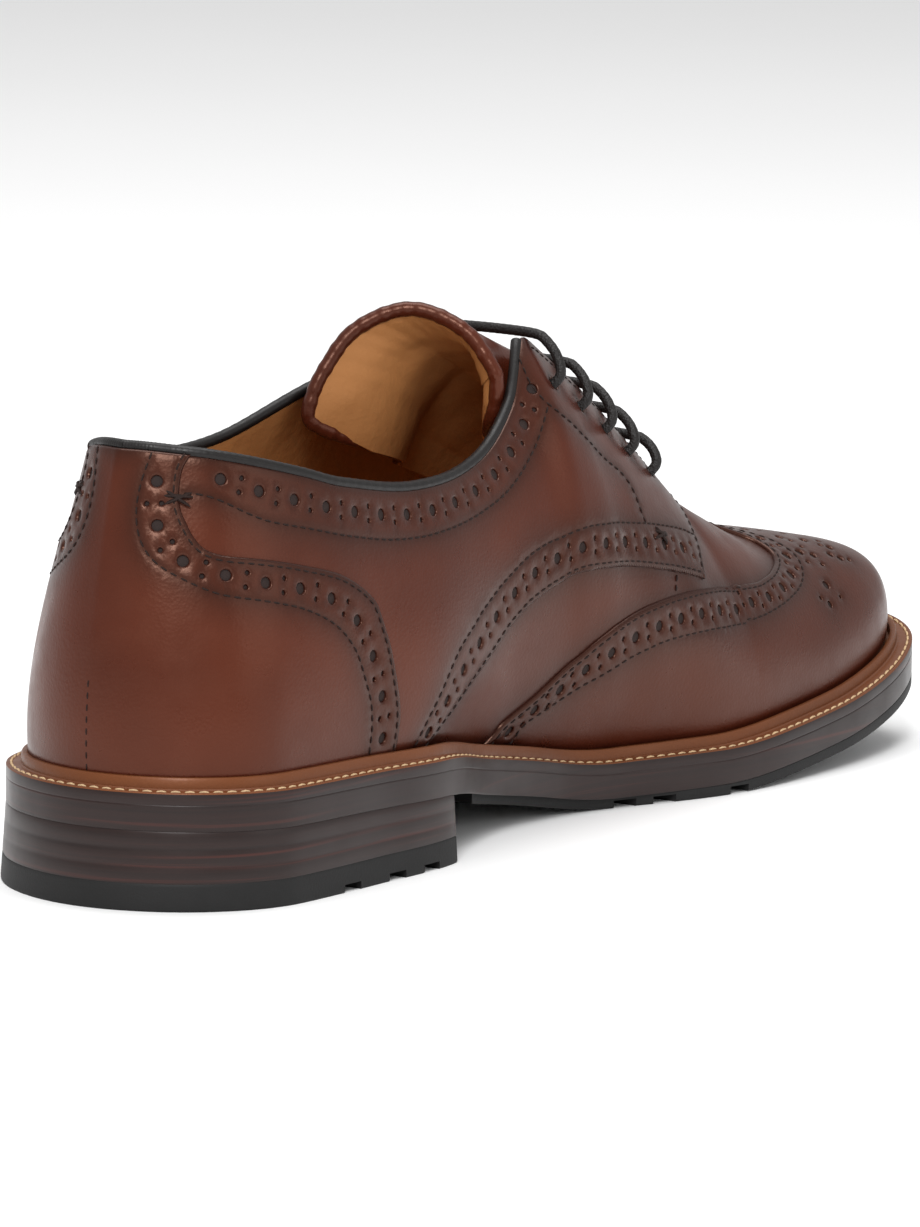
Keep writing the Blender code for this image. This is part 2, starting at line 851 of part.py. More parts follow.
def free_tongue(spreads, root):
    """Lines of the tongue that stand up past the facings, from the edge down."""
    lines = []
    for i in range(TONGUE_FREE_ROWS):
        share = i / TONGUE_FREE_ROWS
        line = []
        for spread, start in zip(spreads, root):
            along, side, rise = (smooth(TONGUE_EDGE, spread, column) for column in (1, 2, 3))
            edge = np.array([along * LENGTH, side * COLLAR_WIDTH, welt_top(0.0) + rise * BACK_HEIGHT])
            point = edge + (start - edge) * share
            point[1] *= 1 - 4 * TONGUE_PINCH * abs(spread) * share * (1 - share)
            line.append(point)
        lines.append(line)
    return lines


def make_tongue():
    """The tongue lies inside the facings and stands up past them."""
    spreads = [2 * j / TONGUE_COLUMNS - 1 for j in range(TONGUE_COLUMNS + 1)]
    lines = []
    for i in range(TONGUE_ROWS + 1):
        share = TONGUE_TOP + (TONGUE_FOOT - TONGUE_TOP) * i / TONGUE_ROWS
        lines.append([facing_section(share, spread) for spread in spreads])
    lines = free_tongue(spreads, lines[0]) + lines
    outer = np.array(lines)
    along = np.gradient(outer, axis=0)
    across = np.gradient(outer, axis=1)
    normal = np.cross(along, across)
    normal /= np.linalg.norm(normal, axis=2)[..., None]
    normal *= np.sign(normal[:, TONGUE_COLUMNS // 2, 2])[:, None, None]
    inner = outer - normal * TONGUE_THICKNESS
    rings = [[*outer[i], *inner[i][::-1]] for i in range(len(lines))]
    add_piece("tongue", ring_mesh("tongue", rings), LEATHER, 0.45)


def cord_mesh(name, path, radius):
    """A round cord along a path, as a bevelled curve turned into a closed mesh."""
    curve = bpy.data.curves.new(name, "CURVE")
    curve.dimensions = "3D"
    curve.bevel_depth = radius
    curve.bevel_resolution = CORD_SIDES // 4
    curve.use_fill_caps = True
    line = curve.splines.new("POLY")
    line.points.add(len(path) - 1)
    for point, place in zip(line.points, path):
        point.co = (*place, 1.0)
    carrier = bpy.data.objects.new(name, curve)
    SHOE.objects.link(carrier)
    mesh = bpy.data.meshes.new_from_object(carrier.evaluated_get(bpy.context.evaluated_depsgraph_get()))
    bpy.data.objects.remove(carrier, do_unlink=True)
    shape = bmesh.new()
    shape.from_mesh(mesh)
    bmesh.ops.remove_doubles(shape, verts=shape.verts, dist=MERGE)
    bmesh.ops.recalc_face_normals(shape, faces=shape.faces)
    shape.to_mesh(mesh)
    shape.free()
    return mesh


def make_collar_binding():
    path = []
    for turn in turns_between(-BINDING_END, BINDING_END):
        _, _, high, top = wall_curve(turn)
        up = (top - high) / np.linalg.norm(top - high)
        path.append(wall_offset(turn, 1.0, -WALL / 2) + up * (BINDING_RADIUS + 2 * GAP))
    add_piece("collar_binding", cord_mesh("collar_binding", path, BINDING_RADIUS), BINDING, 0.4)


def make_lace_bar(number, share):
    """One straight bar of the lace, arched over the gap between the facings."""
    path = []
    for i in range(BAR_POINTS):
        spread = 2 * i / (BAR_POINTS - 1) - 1
        turn = share if spread < 0 else 2.0 - share
        lift = LACE_RADIUS + GAP + LACE_LIFT * math.cos(spread * math.pi / 2)
        if abs(spread) > BAR_BRIDGE:
            height = 1.0 - (abs(spread) - BAR_BRIDGE) / (1 - BAR_BRIDGE) * BAR_DEPTH
            path.append(wall_offset(turn, height, lift))
            continue
        inner, outer = wall_offset(share, 1.0, lift), wall_offset(2.0 - share, 1.0, lift)
        path.append(inner + (outer - inner) * (spread / BAR_BRIDGE + 1) / 2)
    name = f"lace_bar_{number}"
    add_piece(name, cord_mesh(name, path, LACE_RADIUS), CORD, 0.6)


def make_lace():
    for i in range(LACE_BARS):
        share = LACE_TOP + (LACE_FOOT - LACE_TOP) * i / (LACE_BARS - 1)
        make_lace_bar(i + 1, share)


# The whole shoe, with its origin in the middle of its footprint


def footing():
    """An empty that carries every piece and puts the origin under the middle."""
    sides = [sole_edge(i / EDGE_SAMPLES)[0][1] for i in range(2 * EDGE_SAMPLES)]
    empty = bpy.data.objects.new("footing", None)
    SHOE.objects.link(empty)
    empty.location = ((HEEL_FLARE - LENGTH) / 2, -(min(sides) + max(sides)) / 2, 0.0)
    return empty


FOOTING = footing()
make_top_lift()
make_heel_stack()
make_outsole()
make_midsole()
make_welt()
make_insole()
make_upper()
make_tongue()
make_collar_binding()
make_lace()
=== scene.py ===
"""Looks of a left brogue shoe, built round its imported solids.

The upper is cut into panels on the same form as the solids, with folded edges,
punched holes and sewn threads. Lengths are in metres.
"""

import math

import bmesh
import bpy
import numpy as np
from mathutils import Matrix, Vector, geometry, kdtree


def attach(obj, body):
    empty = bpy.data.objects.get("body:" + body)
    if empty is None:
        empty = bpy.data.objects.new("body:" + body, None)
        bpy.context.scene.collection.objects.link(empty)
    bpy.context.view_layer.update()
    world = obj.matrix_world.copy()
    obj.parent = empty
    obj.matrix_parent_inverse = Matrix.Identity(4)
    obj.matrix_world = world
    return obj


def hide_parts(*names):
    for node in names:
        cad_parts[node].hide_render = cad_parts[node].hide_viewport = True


bl_info = {
    "name": "Brogue Shoe",
    "version": (1, 0, 0),
    "blender": (4, 5, 0),
    "location": "View3D > Sidebar > Brogue",
    "description": "Builds the panels, seams, sole and lace of a brogue shoe",
    "category": "Object",
}

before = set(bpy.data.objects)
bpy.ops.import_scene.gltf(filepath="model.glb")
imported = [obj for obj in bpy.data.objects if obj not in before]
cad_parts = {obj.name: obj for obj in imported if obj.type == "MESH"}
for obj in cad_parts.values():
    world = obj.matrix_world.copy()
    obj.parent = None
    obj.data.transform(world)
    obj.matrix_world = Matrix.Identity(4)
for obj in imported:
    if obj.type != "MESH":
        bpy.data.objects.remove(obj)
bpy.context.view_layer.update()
BODY = "root"
MM = 0.001

# Driving sizes of the sole
LENGTH = 0.303
BALL_WIDTH = 0.102
HEEL_WIDTH = 0.076
TOE_SPRING = 0.018
WELT_THICKNESS = 0.0028
MIDSOLE_THICKNESS = 0.0056
TREAD_THICKNESS = 0.0026
HEEL_HEIGHT = 0.0177
HEEL_LENGTH = 0.091
TOP_LIFT_THICKNESS = 0.006
HEEL_FLARE = 0.0012
INSOLE_THICKNESS = 0.003

# Driving sizes of the welt's storm bead and of the upper
WELT_MARGIN_HEEL = 0.006
WELT_MARGIN_FRONT = 0.0066
BEAD_HEIGHT = 0.0028
BEAD_WIDTH = 0.0015
WALL = 0.0024
LEATHER_STEP = 0.0009
BACK_HEIGHT = 0.0735
INSTEP_HEIGHT = 0.102
COLLAR_WIDTH = 0.058
THROAT_WIDTH = 0.022

# Driving sizes of the tongue, the collar binding and the lace
BINDING_RADIUS = 0.0011
LACE_RADIUS = 0.00135

# Tread notches
NOTCH_WIDTH = 0.006
NOTCH_DEPTH = 0.0018
NOTCH_REACH = 0.007

# Clearance between pieces that touch on the real shoe
GAP = 0.0003

# Small steps for directions, the distance under which corners merge, and the
# samples round the sole edge that find the middle of the footprint
EDGE_STEP = 0.004
RIDGE_STEP = 0.01
MERGE = 0.000002
EDGE_SAMPLES = 400

# Where the welt widens, and where the instep is measured from, as shares
MARGIN_FROM = 0.25
MARGIN_TO = 0.55
BALL_AT = 0.60

# Sole edge: share of the length, then half widths on the inner and outer side.
# The first rows follow the heel width and the others the ball width.
HEEL_EDGE = (
    # share, inner, outer
    (0.000, 0.000, 0.000),
    (0.012, 0.212, 0.212),
    (0.030, 0.328, 0.328),
    (0.060, 0.434, 0.434),
    (0.090, 0.486, 0.486),
    (0.120, 0.500, 0.502),
    (0.200, 0.505, 0.506),
    (0.290, 0.500, 0.510),
)
BALL_EDGE = (
    # share, inner, outer
    (0.400, 0.278, 0.400),
    (0.480, 0.268, 0.445),
    (0.550, 0.298, 0.500),
    (0.600, 0.347, 0.538),
    (0.660, 0.400, 0.565),
    (0.720, 0.424, 0.558),
    (0.800, 0.428, 0.492),
    (0.870, 0.412, 0.395),
    (0.920, 0.382, 0.290),
    (0.960, 0.326, 0.180),
    (0.985, 0.240, 0.070),
    (1.000, 0.075, -0.075),
)

# Underside of the midsole: share of the length, then height.
# Heights are a share of the heel height, of the toe spring and of the tread.
UNDERSIDE = (
    # share, heel, spring, tread
    (0.000, 1.000, 0.000, 0.0),
    (0.290, 0.880, 0.000, 0.0),
    (0.360, 0.690, 0.000, 0.0),
    (0.480, 0.165, 0.000, 1.0),
    (0.560, 0.000, 0.000, 1.0),
    (0.650, 0.000, 0.000, 1.0),
    (0.720, 0.000, 0.085, 1.0),
    (0.860, 0.000, 0.400, 1.0),
    (1.000, 0.000, 1.000, 1.0),
)

# Top line of the upper, from the centre back along the collar, over the facing
# and down to the throat. Turn is the place along the sole edge, 0 at the heel
# and 1 at the toe. Along is a share of the length, side of the collar width or
# the throat width, rise of the back height or the instep height.
COLLAR_INNER = (
    # turn, along, side, rise, lean
    (0.000, 0.054, 0.000, 0.986, 14),
    (0.064, 0.060, 0.100, 0.984, 14),
    (0.111, 0.071, 0.190, 0.976, 14),
    (0.158, 0.089, 0.300, 0.962, 13),
    (0.205, 0.119, 0.392, 0.932, 11),
    (0.253, 0.160, 0.460, 0.887, 10),
    (0.295, 0.202, 0.492, 0.840, 10),
    (0.369, 0.295, 0.495, 0.790, 14),
    (0.436, 0.386, 0.435, 0.830, 26),
    (0.480, 0.452, 0.345, 0.970, 36),
)
COLLAR_OUTER = (
    # turn, along, side, rise, lean
    (0.000, 0.054, 0.000, 0.986, 14),
    (0.064, 0.060, 0.100, 0.984, 14),
    (0.111, 0.071, 0.190, 0.974, 14),
    (0.158, 0.089, 0.300, 0.950, 13),
    (0.205, 0.119, 0.392, 0.915, 11),
    (0.253, 0.160, 0.460, 0.880, 10),
    (0.295, 0.202, 0.492, 0.855, 11),
    (0.369, 0.290, 0.490, 0.875, 16),
    (0.436, 0.380, 0.435, 0.990, 28),
    (0.480, 0.446, 0.345, 1.085, 38),
)
FACING = (
    # turn, along, side, rise, lean
    (0.510, 0.495, 0.618, 0.985, 46),
    (0.525, 0.518, 0.568, 0.955, 50),
    (0.564, 0.586, 0.523, 0.832, 54),
    (0.600, 0.648, 0.477, 0.703, 58),
    (0.622, 0.688, 0.386, 0.620, 62),
    (0.632, 0.701, 0.227, 0.592, 72),
)
RIDGE = (
    # turn, along, side, rise, lean
    (0.640, 0.708, 0.000, 0.580, 90),
    (0.680, 0.746, 0.000, 0.520, 90),
    (0.720, 0.784, 0.000, 0.462, 90),
    (0.760, 0.816, 0.000, 0.434, 90),
    (0.800, 0.843, 0.000, 0.420, 90),
    (0.850, 0.863, 0.000, 0.410, 90),
    (0.920, 0.878, 0.000, 0.401, 90),
    (1.000, 0.884, 0.000, 0.397, 90),
)

# Fullness of the wall: outward flare in degrees at the sole edge, and the
# reach of the curve at its foot and at its top as shares of its height.
FULLNESS = (
    # turn, inner flare, outer flare, foot, top
    (0.000, 6, 6, 0.30, 0.34),
    (0.150, 7, 7, 0.30, 0.34),
    (0.300, 12, 12, 0.34, 0.34),
    (0.436, 32, 16, 0.36, 0.34),
    (0.520, 32, 18, 0.36, 0.32),
    (0.600, 20, 16, 0.36, 0.32),
    (0.700, 12, 14, 0.38, 0.40),
    (0.850, 8, 10, 0.52, 0.50),
    (1.000, 6, 6, 0.56, 0.52),
)

# Tongue: shares along the facing where it ends, and its spread
TONGUE_TOP = 0.53
TONGUE_FOOT = 0.637
TONGUE_BRIDGE = 0.36
TONGUE_DEPTH = 0.22
TONGUE_ARCH = 0.10

# Free edge of the tongue: spread from the inner to the outer side, along as a
# share of the length, side of the collar width and rise of the back height.
TONGUE_EDGE = (
    # spread, along, side, rise
    (-1.0, 0.452, -0.290, 1.070),
    (-0.5, 0.444, -0.150, 1.205),
    (0.0, 0.428, 0.070, 1.270),
    (0.5, 0.400, 0.260, 1.195),
    (1.0, 0.374, 0.345, 1.040),
)
TONGUE_PINCH = 0.40
TONGUE_CLEARANCE = 0.0009

# Tread: where it starts, how it is set back under the waist, and the notches of
# the top lift and of the outsole as shares of the length
TREAD_FROM = 0.375
WAIST_INSET = 0.004
WAIST_FROM = 0.45
WAIST_TO = 0.60
LIFT_NOTCHES = (0.165, 0.220, 0.262)
SOLE_NOTCHES = (0.563, 0.597, 0.668)

# Storm bead: its distance from the upper
BEAD_CLEARANCE = 0.0012

# Sides of the shoe
INNER = -1.0
OUTER = 1.0


def smooth(table, key, column):
    """Read a column of a table at a key, along a smooth curve through its rows."""
    keys = [row[0] for row in table]
    key = min(max(key, keys[0]), keys[-1])
    i = min(sum(1 for k in keys if k <= key), len(keys) - 1) - 1

    def value(row):
        return table[row][column]

    def slope(row):
        before, after = max(row - 1, 0), min(row + 1, len(keys) - 1)
        turns_back = (value(row) - value(before)) * (value(after) - value(row)) <= 0
        if before < row < after and turns_back:
            return 0.0
        return (value(after) - value(before)) / (keys[after] - keys[before])

    width = keys[i + 1] - keys[i]
    s = (key - keys[i]) / width
    hermite = s * s * (3 - 2 * s)
    start = s * (1 - s) * (1 - s) * width * slope(i)
    end = s * s * (1 - s) * width * slope(i + 1)
    return value(i) + hermite * (value(i + 1) - value(i)) + start - end


def ease(share):
    share = min(max(share, 0.0), 1.0)
    return share * share * (3 - 2 * share)


# Turn is the place round the sole edge: 0 at the heel's back, up to 1 at the
# toe's tip along the inner side, and on to 2 at the heel along the outer side.


def side_and_share(turn):
    """Side of a turn, and how far it is from the heel towards the toe."""
    turn %= 2.0
    if turn <= 1.0:
        return INNER, turn
    return OUTER, 2.0 - turn


def turn_at(along):
    return math.acos(1 - 2 * along / LENGTH) / math.pi


def edge_loop():
    """Sideways place of the sole edge all round, with an overlap at the heel."""
    inner, outer = [], []
    for edge, width in ((HEEL_EDGE, HEEL_WIDTH), (BALL_EDGE, BALL_WIDTH)):
        for share, inner_share, outer_share in edge:
            turn = turn_at(share * LENGTH)
            inner.append((turn, INNER * inner_share * width))
            outer.append((turn, OUTER * outer_share * width))
    before = [(-turn, y) for turn, y in reversed(outer[1:4])]
    back = [(2.0 - turn, y) for turn, y in reversed(outer[:-1])]
    after = [(2.0 + turn, y) for turn, y in inner[1:4]]
    return before + inner + back + after


EDGE_LOOP = edge_loop()


def sole_edge(turn, inset=0.0):
    """Point of the sole edge in plan moved inwards, and the outward direction."""
    def point(at):
        return np.array([LENGTH * (1 - math.cos(math.pi * at)) / 2, smooth(EDGE_LOOP, at, 1)])

    turn %= 2.0
    tangent = point(turn + EDGE_STEP) - point(turn - EDGE_STEP)
    tangent /= np.linalg.norm(tangent)
    outward = np.array([tangent[1], -tangent[0]])
    return point(turn) - outward * inset, outward


def midsole_bottom(along):
    """Height of the midsole's underside at a place along the shoe."""
    share = along / LENGTH
    heel = smooth(UNDERSIDE, share, 1) * HEEL_HEIGHT
    spring = smooth(UNDERSIDE, share, 2) * TOE_SPRING
    return heel + spring + smooth(UNDERSIDE, share, 3) * TREAD_THICKNESS


def midsole_top(along):
    return midsole_bottom(along) + MIDSOLE_THICKNESS


def welt_bottom(along):
    return midsole_top(along) + GAP


def welt_top(along):
    return welt_bottom(along) + WELT_THICKNESS


def welt_margin(turn):
    """Width of the welt outside the upper, narrower at the heel."""
    share = side_and_share(turn)[1]
    front = ease((share - MARGIN_FROM) / (MARGIN_TO - MARGIN_FROM))
    return WELT_MARGIN_HEEL + (WELT_MARGIN_FRONT - WELT_MARGIN_HEEL) * front


def top_line_rows(side):
    """Top line in metres: turn, along, sideways, height, lean in degrees."""
    rows = []
    seat = welt_top(0.0)
    for turn, along, out, rise, lean in COLLAR_INNER if side == INNER else COLLAR_OUTER:
        height = seat + rise * BACK_HEIGHT
        rows.append((turn, along * LENGTH, side * out * COLLAR_WIDTH, height, lean))
    ball = welt_top(BALL_AT * LENGTH)
    for turn, along, out, rise, lean in FACING + RIDGE:
        height = ball + rise * INSTEP_HEIGHT
        rows.append((turn, along * LENGTH, side * out * THROAT_WIDTH, height, lean))
    return rows


TOP_LINE = {INNER: top_line_rows(INNER), OUTER: top_line_rows(OUTER)}
THROAT_TURN = RIDGE[0][0]


def top_line(turn):
    side, share = side_and_share(turn)
    return np.array([smooth(TOP_LINE[side], share, column) for column in (1, 2, 3)])


def ridge_slope(turn):
    """Rise of the ridge per length at a turn past the throat."""
    share = min(max(side_and_share(turn)[1], THROAT_TURN + RIDGE_STEP), 1.0 - 2 * RIDGE_STEP)
    run = top_line(share + RIDGE_STEP) - top_line(share - RIDGE_STEP)
    return run[2] / run[0]


def is_ridge(turn):
    return side_and_share(turn)[1] > THROAT_TURN - MERGE


def wall_curve(turn):
    """The four control points of the wall's curve, from the sole to the top line."""
    side, share = side_and_share(turn)
    plan, outward = sole_edge(turn, welt_margin(turn))
    foot = np.array([plan[0], plan[1], welt_top(plan[0]) + GAP])
    top = top_line(turn)
    reach = np.linalg.norm(top - foot)
    flare = math.radians(smooth(FULLNESS, share, 1 if side == INNER else 2))
    lean = math.radians(smooth(TOP_LINE[side], share, 4))
    foot_way = np.array([*(outward * math.sin(flare)), math.cos(flare)])
    top_way = np.array([*(outward * -math.sin(lean)), math.cos(lean)])
    if is_ridge(turn):
        top_way[2] = ridge_slope(turn) * top_way[0]
    low = foot + foot_way * reach * smooth(FULLNESS, share, 3)
    high = top - top_way * reach * smooth(FULLNESS, share, 4)
    return foot, low, high, top


# The form sampled once round the shoe, from the middle of its footprint

LAP_SAMPLES = 1600
PLACE_STEP = 0.002
RIDGE_BLEND_FROM = 0.9


def footing():
    """Move from the part's own origin to the middle of its footprint."""
    sides = [sole_edge(i / EDGE_SAMPLES)[0][1] for i in range(2 * EDGE_SAMPLES)]
    return np.array([(HEEL_FLARE - LENGTH) / 2, -(min(sides) + max(sides)) / 2, 0.0])


ORIGIN = footing()
CONTROLS = np.array([wall_curve(2 * i / LAP_SAMPLES) for i in range(LAP_SAMPLES + 1)]) + ORIGIN
REACH = np.linalg.norm(CONTROLS[:, 3] - CONTROLS[:, 0], axis=1)
SLOPES = np.array([ridge_slope(2 * i / LAP_SAMPLES) for i in range(LAP_SAMPLES + 1)])


def sampled(table, turn):
    """Read a table sampled round the shoe at an array of turns."""
    at = np.mod(turn, 2.0) * LAP_SAMPLES / 2
    low = np.minimum(at.astype(int), LAP_SAMPLES - 1)
    share = (at - low).reshape(at.shape + (1,) * (table.ndim - 1))
    return table[low] * (1 - share) + table[low + 1] * share


def over_ridge(turn, height):
    """Places past the ridge, brought back down on the other side."""
    turn, height = np.mod(np.asarray(turn, float), 2.0), np.asarray(height, float)
    past = (height > 1) & (np.abs(turn - 1) < 1 - THROAT_TURN)
    return np.where(past, 2 - turn, turn), np.where(past, 2 - height, height)


def form_point(turn, height):
    """Points of the form; height runs from 0 at the welt to 1 at the top line."""
    curve = sampled(CONTROLS, np.asarray(turn, float))
    foot, low, high, top = (curve[..., i, :] for i in range(4))
    h = np.asarray(height, float)[..., None]
    r = 1 - h
    return r**3 * foot + 3 * h * r**2 * low + 3 * h**2 * r * high + h**3 * top


def form_ways(turn, height):
    """How a place moves in space per unit of turn and per unit of height."""
    step = PLACE_STEP
    along = (form_point(turn + step, height) - form_point(turn - step, height)) / (2 * step)
    up = (form_point(turn, height + step) - form_point(turn, height - step)) / (2 * step)
    return along, up


def form_normal(turn, height):
    """Outward directions of the form, blended over the ridge."""
    along, up = form_ways(turn, height)
    normal = np.cross(along, up)
    normal /= np.linalg.norm(normal, axis=-1)[..., None]
    slope = sampled(SLOPES, turn)
    ridge = np.stack([-slope, 0 * slope, 1 + 0 * slope], -1)
    ridge /= np.linalg.norm(ridge, axis=-1)[..., None]
    near = np.clip((np.asarray(height) - RIDGE_BLEND_FROM) / (1 - RIDGE_BLEND_FROM), 0, 1)
    on_ridge = np.abs(np.mod(turn, 2.0) - 1) < 1 - THROAT_TURN + MERGE
    near = np.where(on_ridge, near * near * (3 - 2 * near), 0.0)
    normal = normal * (1 - near[..., None]) + ridge * near[..., None]
    return normal / np.linalg.norm(normal, axis=-1)[..., None]


def on_form(turn, height, offset=0.0):
    """Points at places on the form, raised by an offset."""
    turn, height = over_ridge(turn, height)
    return form_point(turn, height) + form_normal(turn, height) * np.asarray(offset)[..., None]


def flat_pattern(turn, height):
    """Places laid out flat, in strips that fan out round the heel and the toe."""
    turn, height = over_ridge(turn, height)
    share = np.where(turn > 1, 2 - turn, turn)
    side = np.where(turn > 1, 1.0, -1.0)
    lean = np.clip((share - 0.6) / 0.4, 0, 1) - np.clip(1 - share / 0.25, 0, 1)
    lean = lean * math.pi / 2
    outward = np.stack([np.sin(lean), side * np.cos(lean)], -1)
    top = sampled(CONTROLS, turn)[..., 3, :2]
    return top + outward * ((1 - height) * sampled(REACH, turn))[..., None]


def moved(places, ways):
    """Places moved along the surface by vectors in space."""
    along, up = form_ways(places[:, 0], places[:, 1])
    aa, uu, au = (along * along).sum(1), (up * up).sum(1), (along * up).sum(1)
    aw, uw = (along * ways).sum(1), (up * ways).sum(1)
    det = aa * uu - au * au
    return places + np.stack([(aw * uu - uw * au) / det, (uw * aa - aw * au) / det], 1)


def side_sign(side):
    """Which way a line is slid to go up, on a side of the shoe."""
    return 1.0 if side == INNER else -1.0


def onto_side(places, side):
    """Places of the inner side, moved to a side of the shoe."""
    places = np.array(places, float)
    if side == OUTER:
        places[:, 0] = 2 - places[:, 0]
    return places


def run_of(points):
    """Distance along a line of points, from its start."""
    return np.concatenate([[0], np.cumsum(np.linalg.norm(np.diff(points, axis=0), axis=1))])


def read_at(line, run, at):
    """Points of a line at distances along it."""
    return np.stack([np.interp(at, run, column) for column in line.T], 1)


def curve_through(points, samples):
    """A smooth line through points, with a number of samples to each step."""
    ends = np.vstack([2 * points[0] - points[1], points, 2 * points[-1] - points[-2]])
    s = np.linspace(0, 1, samples, endpoint=False)[:, None]
    line = []
    for a, b, c, d in zip(ends, ends[1:], ends[2:], ends[3:]):
        square = (2 * a - 5 * b + 4 * c - d) * s**2 / 2
        line.append(b + (c - a) * s / 2 + square + (3 * b - a - 3 * c + d) * s**3 / 2)
    return np.vstack([*line, points[-1:]])


def even_steps(places, step):
    """A line of places respaced evenly in space."""
    run = run_of(on_form(places[:, 0], places[:, 1]))
    count = max(int(round(run[-1] / step)), 1)
    return read_at(places, run, np.linspace(0, run[-1], count + 1))


def seam(rows, side, step=MM):
    """A smooth line through the rows of a table, on one side of the shoe."""
    places = curve_through(np.array(rows, float), 24)
    return even_steps(across(places) if side == OUTER else places, step)


def across(places):
    """Places of the inner side carried to the outer side, at the same length and level."""
    aim = form_point(places[:, 0], places[:, 1])[:, [0, 2]]
    height = places[:, 1]
    free = np.clip(height / 0.1, 0, 1) * np.clip((1 - height) / 0.15, 0, 1)
    found = np.stack([2 - places[:, 0], height], 1)
    for _ in range(14):
        along, up = (way[:, [0, 2]] for way in form_ways(found[:, 0], found[:, 1]))
        miss = aim - form_point(found[:, 0], found[:, 1])[:, [0, 2]]
        aa, uu, au = (along**2).sum(1) + 1e-4, (up**2).sum(1) + 1e-4, (along * up).sum(1)
        am, um = (along * miss).sum(1), (up * miss).sum(1)
        step = np.stack([am * uu - um * au, um * aa - am * au], 1) / (aa * uu - au**2)[:, None]
        found = found + np.clip(step, -0.01, 0.01) * free[:, None]
    found[:, 0] = np.where(free > 0, found[:, 0], 2 - places[:, 0])
    return found


def foot_share(line):
    """How far forward a line meets the welt."""
    return float(min(line[0, 0], 2 - line[0, 0]))


def slide(places, distance):
    """A line of places moved sideways: up, on the inner side, for a line that runs forward."""
    points = on_form(places[:, 0], places[:, 1])
    tangent = np.gradient(points, axis=0)
    tangent /= np.linalg.norm(tangent, axis=1)[:, None] + 1e-12
    side = np.cross(form_normal(places[:, 0], places[:, 1]), tangent)
    side /= np.linalg.norm(side, axis=1)[:, None] + 1e-12
    return untangled(moved(places, side * distance), tangent)


def untangled(places, tangent):
    """Drops the places where a slid line would run backwards."""
    points = on_form(places[:, 0], places[:, 1])
    steps = ((points[1:] - points[:-1]) * tangent[:-1]).sum(1)
    keep = np.concatenate([[True], steps > 0.15 * MM])
    return places[keep] if keep.sum() > 3 else places


def tree_of(points):
    """Points in a tree that finds the nearest one."""
    tree = kdtree.KDTree(len(points))
    for i, point in enumerate(points):
        tree.insert(point, i)
    tree.balance()
    return tree


def distances(points, others):
    """Distance from each point to the nearest of the others."""
    if len(others) == 0:
        return np.full(len(points), 1.0)
    tree = tree_of(others)
    return np.array([tree.find(point)[2] for point in points])


def inside(polygon, points):
    """Which flat points lie in a closed polygon."""
    found = np.zeros(len(points), bool)
    x, y = points[:, 0], points[:, 1]
    for (ax, ay), (bx, by) in zip(polygon, np.roll(polygon, -1, axis=0)):
        if ay == by:
            continue
        crosses = (ay > y) != (by > y)
        found ^= crosses & (x < (bx - ax) * (y - ay) / (by - ay) + ax)
    return found


# Panels of leather, cut flat and laid over the form

FOLD_ROWS = (0.25 * MM, 0.7 * MM)
FOLD_RADIUS = 0.7 * MM
FOLD_DROP = 0.62
HOLE_DENT = 0.34 * MM
GROOVE_WIDTH = 0.55 * MM
GROOVE_DEPTH = 0.13 * MM
BURNISH_REACH = 4.5 * MM

# Spacing of a panel's points: least distance apart at folds, at grooves and in
# the grid, and the pitch of the grid as turn and height

FOLD_APART = 0.18 * MM
GROOVE_APART = 0.35 * MM
GRID_APART = 0.8 * MM
TURN_PITCH = 0.0052
HEIGHT_PITCH = 0.0215

# How far an edge's first seam lies from its fold, and where the threads and the
# leather lie over the form

EDGE_SEAM = 1.3 * MM
LEATHER = 1.05 * MM
THREAD_DEPTH = -0.02 * MM
COUNTER_TOP = 0.9 * MM


def hole_ring(turn, height, radius, count):
    """Places round a punched hole."""
    centre = np.tile([[turn, height]], (count, 1))
    along, up = form_ways(centre[:, 0], centre[:, 1])
    normal = form_normal(centre[:, 0], centre[:, 1])
    across = along / np.linalg.norm(along, axis=1)[:, None]
    upward = np.cross(normal, across)
    angle = np.arange(count) * 2 * math.pi / count
    ways = across * np.cos(angle)[:, None] + upward * np.sin(angle)[:, None]
    return moved(centre, ways * radius)


class Cutting:
    """Gathers the points of a panel before it is cut into triangles."""

    def __init__(self, holes):
        self.places, self.points, self.edges = np.zeros((0, 2)), np.zeros((0, 3)), []
        self.radii = np.array([radius for _, _, radius in holes])
        centres = np.array([on_form(turn, height) for turn, height, _ in holes])
        self.centres = tree_of(centres) if len(holes) else None

    def clear(self, points):
        """Which points lie outside every hole."""
        if self.centres is None:
            return np.ones(len(points), bool)
        found = [self.centres.find(point) for point in points]
        return np.array([hit[2] > self.radii[hit[1]] + 0.1 * MM for hit in found], bool)

    def add(self, places, apart=0.0, closed=False):
        """Add places that are far enough from the others, and return their numbers."""
        points = on_form(places[:, 0], places[:, 1])
        if apart and len(self.points):
            keep = (distances(points, self.points) > apart) & self.clear(points)
            places, points = places[keep], points[keep]
        first = len(self.places)
        self.places = np.vstack([self.places, places])
        self.points = np.vstack([self.points, points])
        if closed:
            count = len(places)
            self.edges += [(first + i, first + (i + 1) % count) for i in range(count)]
        return range(first, len(self.places))


def within(row, outline):
    """The places of a row that lie inside an outline."""
    return row[inside(outline, flat_pattern(row[:, 0], row[:, 1]))]


def punch(cutting, holes):
    """Rings of points round every hole, with the numbers of each hole's edge."""
    rings = []
    for turn, height, radius in holes:
        count = 14 if radius > MM else 9
        rings.append(set(cutting.add(hole_ring(turn, height, radius, count), closed=True)))
        for more in (0.18 * MM, 0.5 * MM):
            cutting.add(hole_ring(turn, height, radius + more, count), apart=0.1 * MM)
    return rings


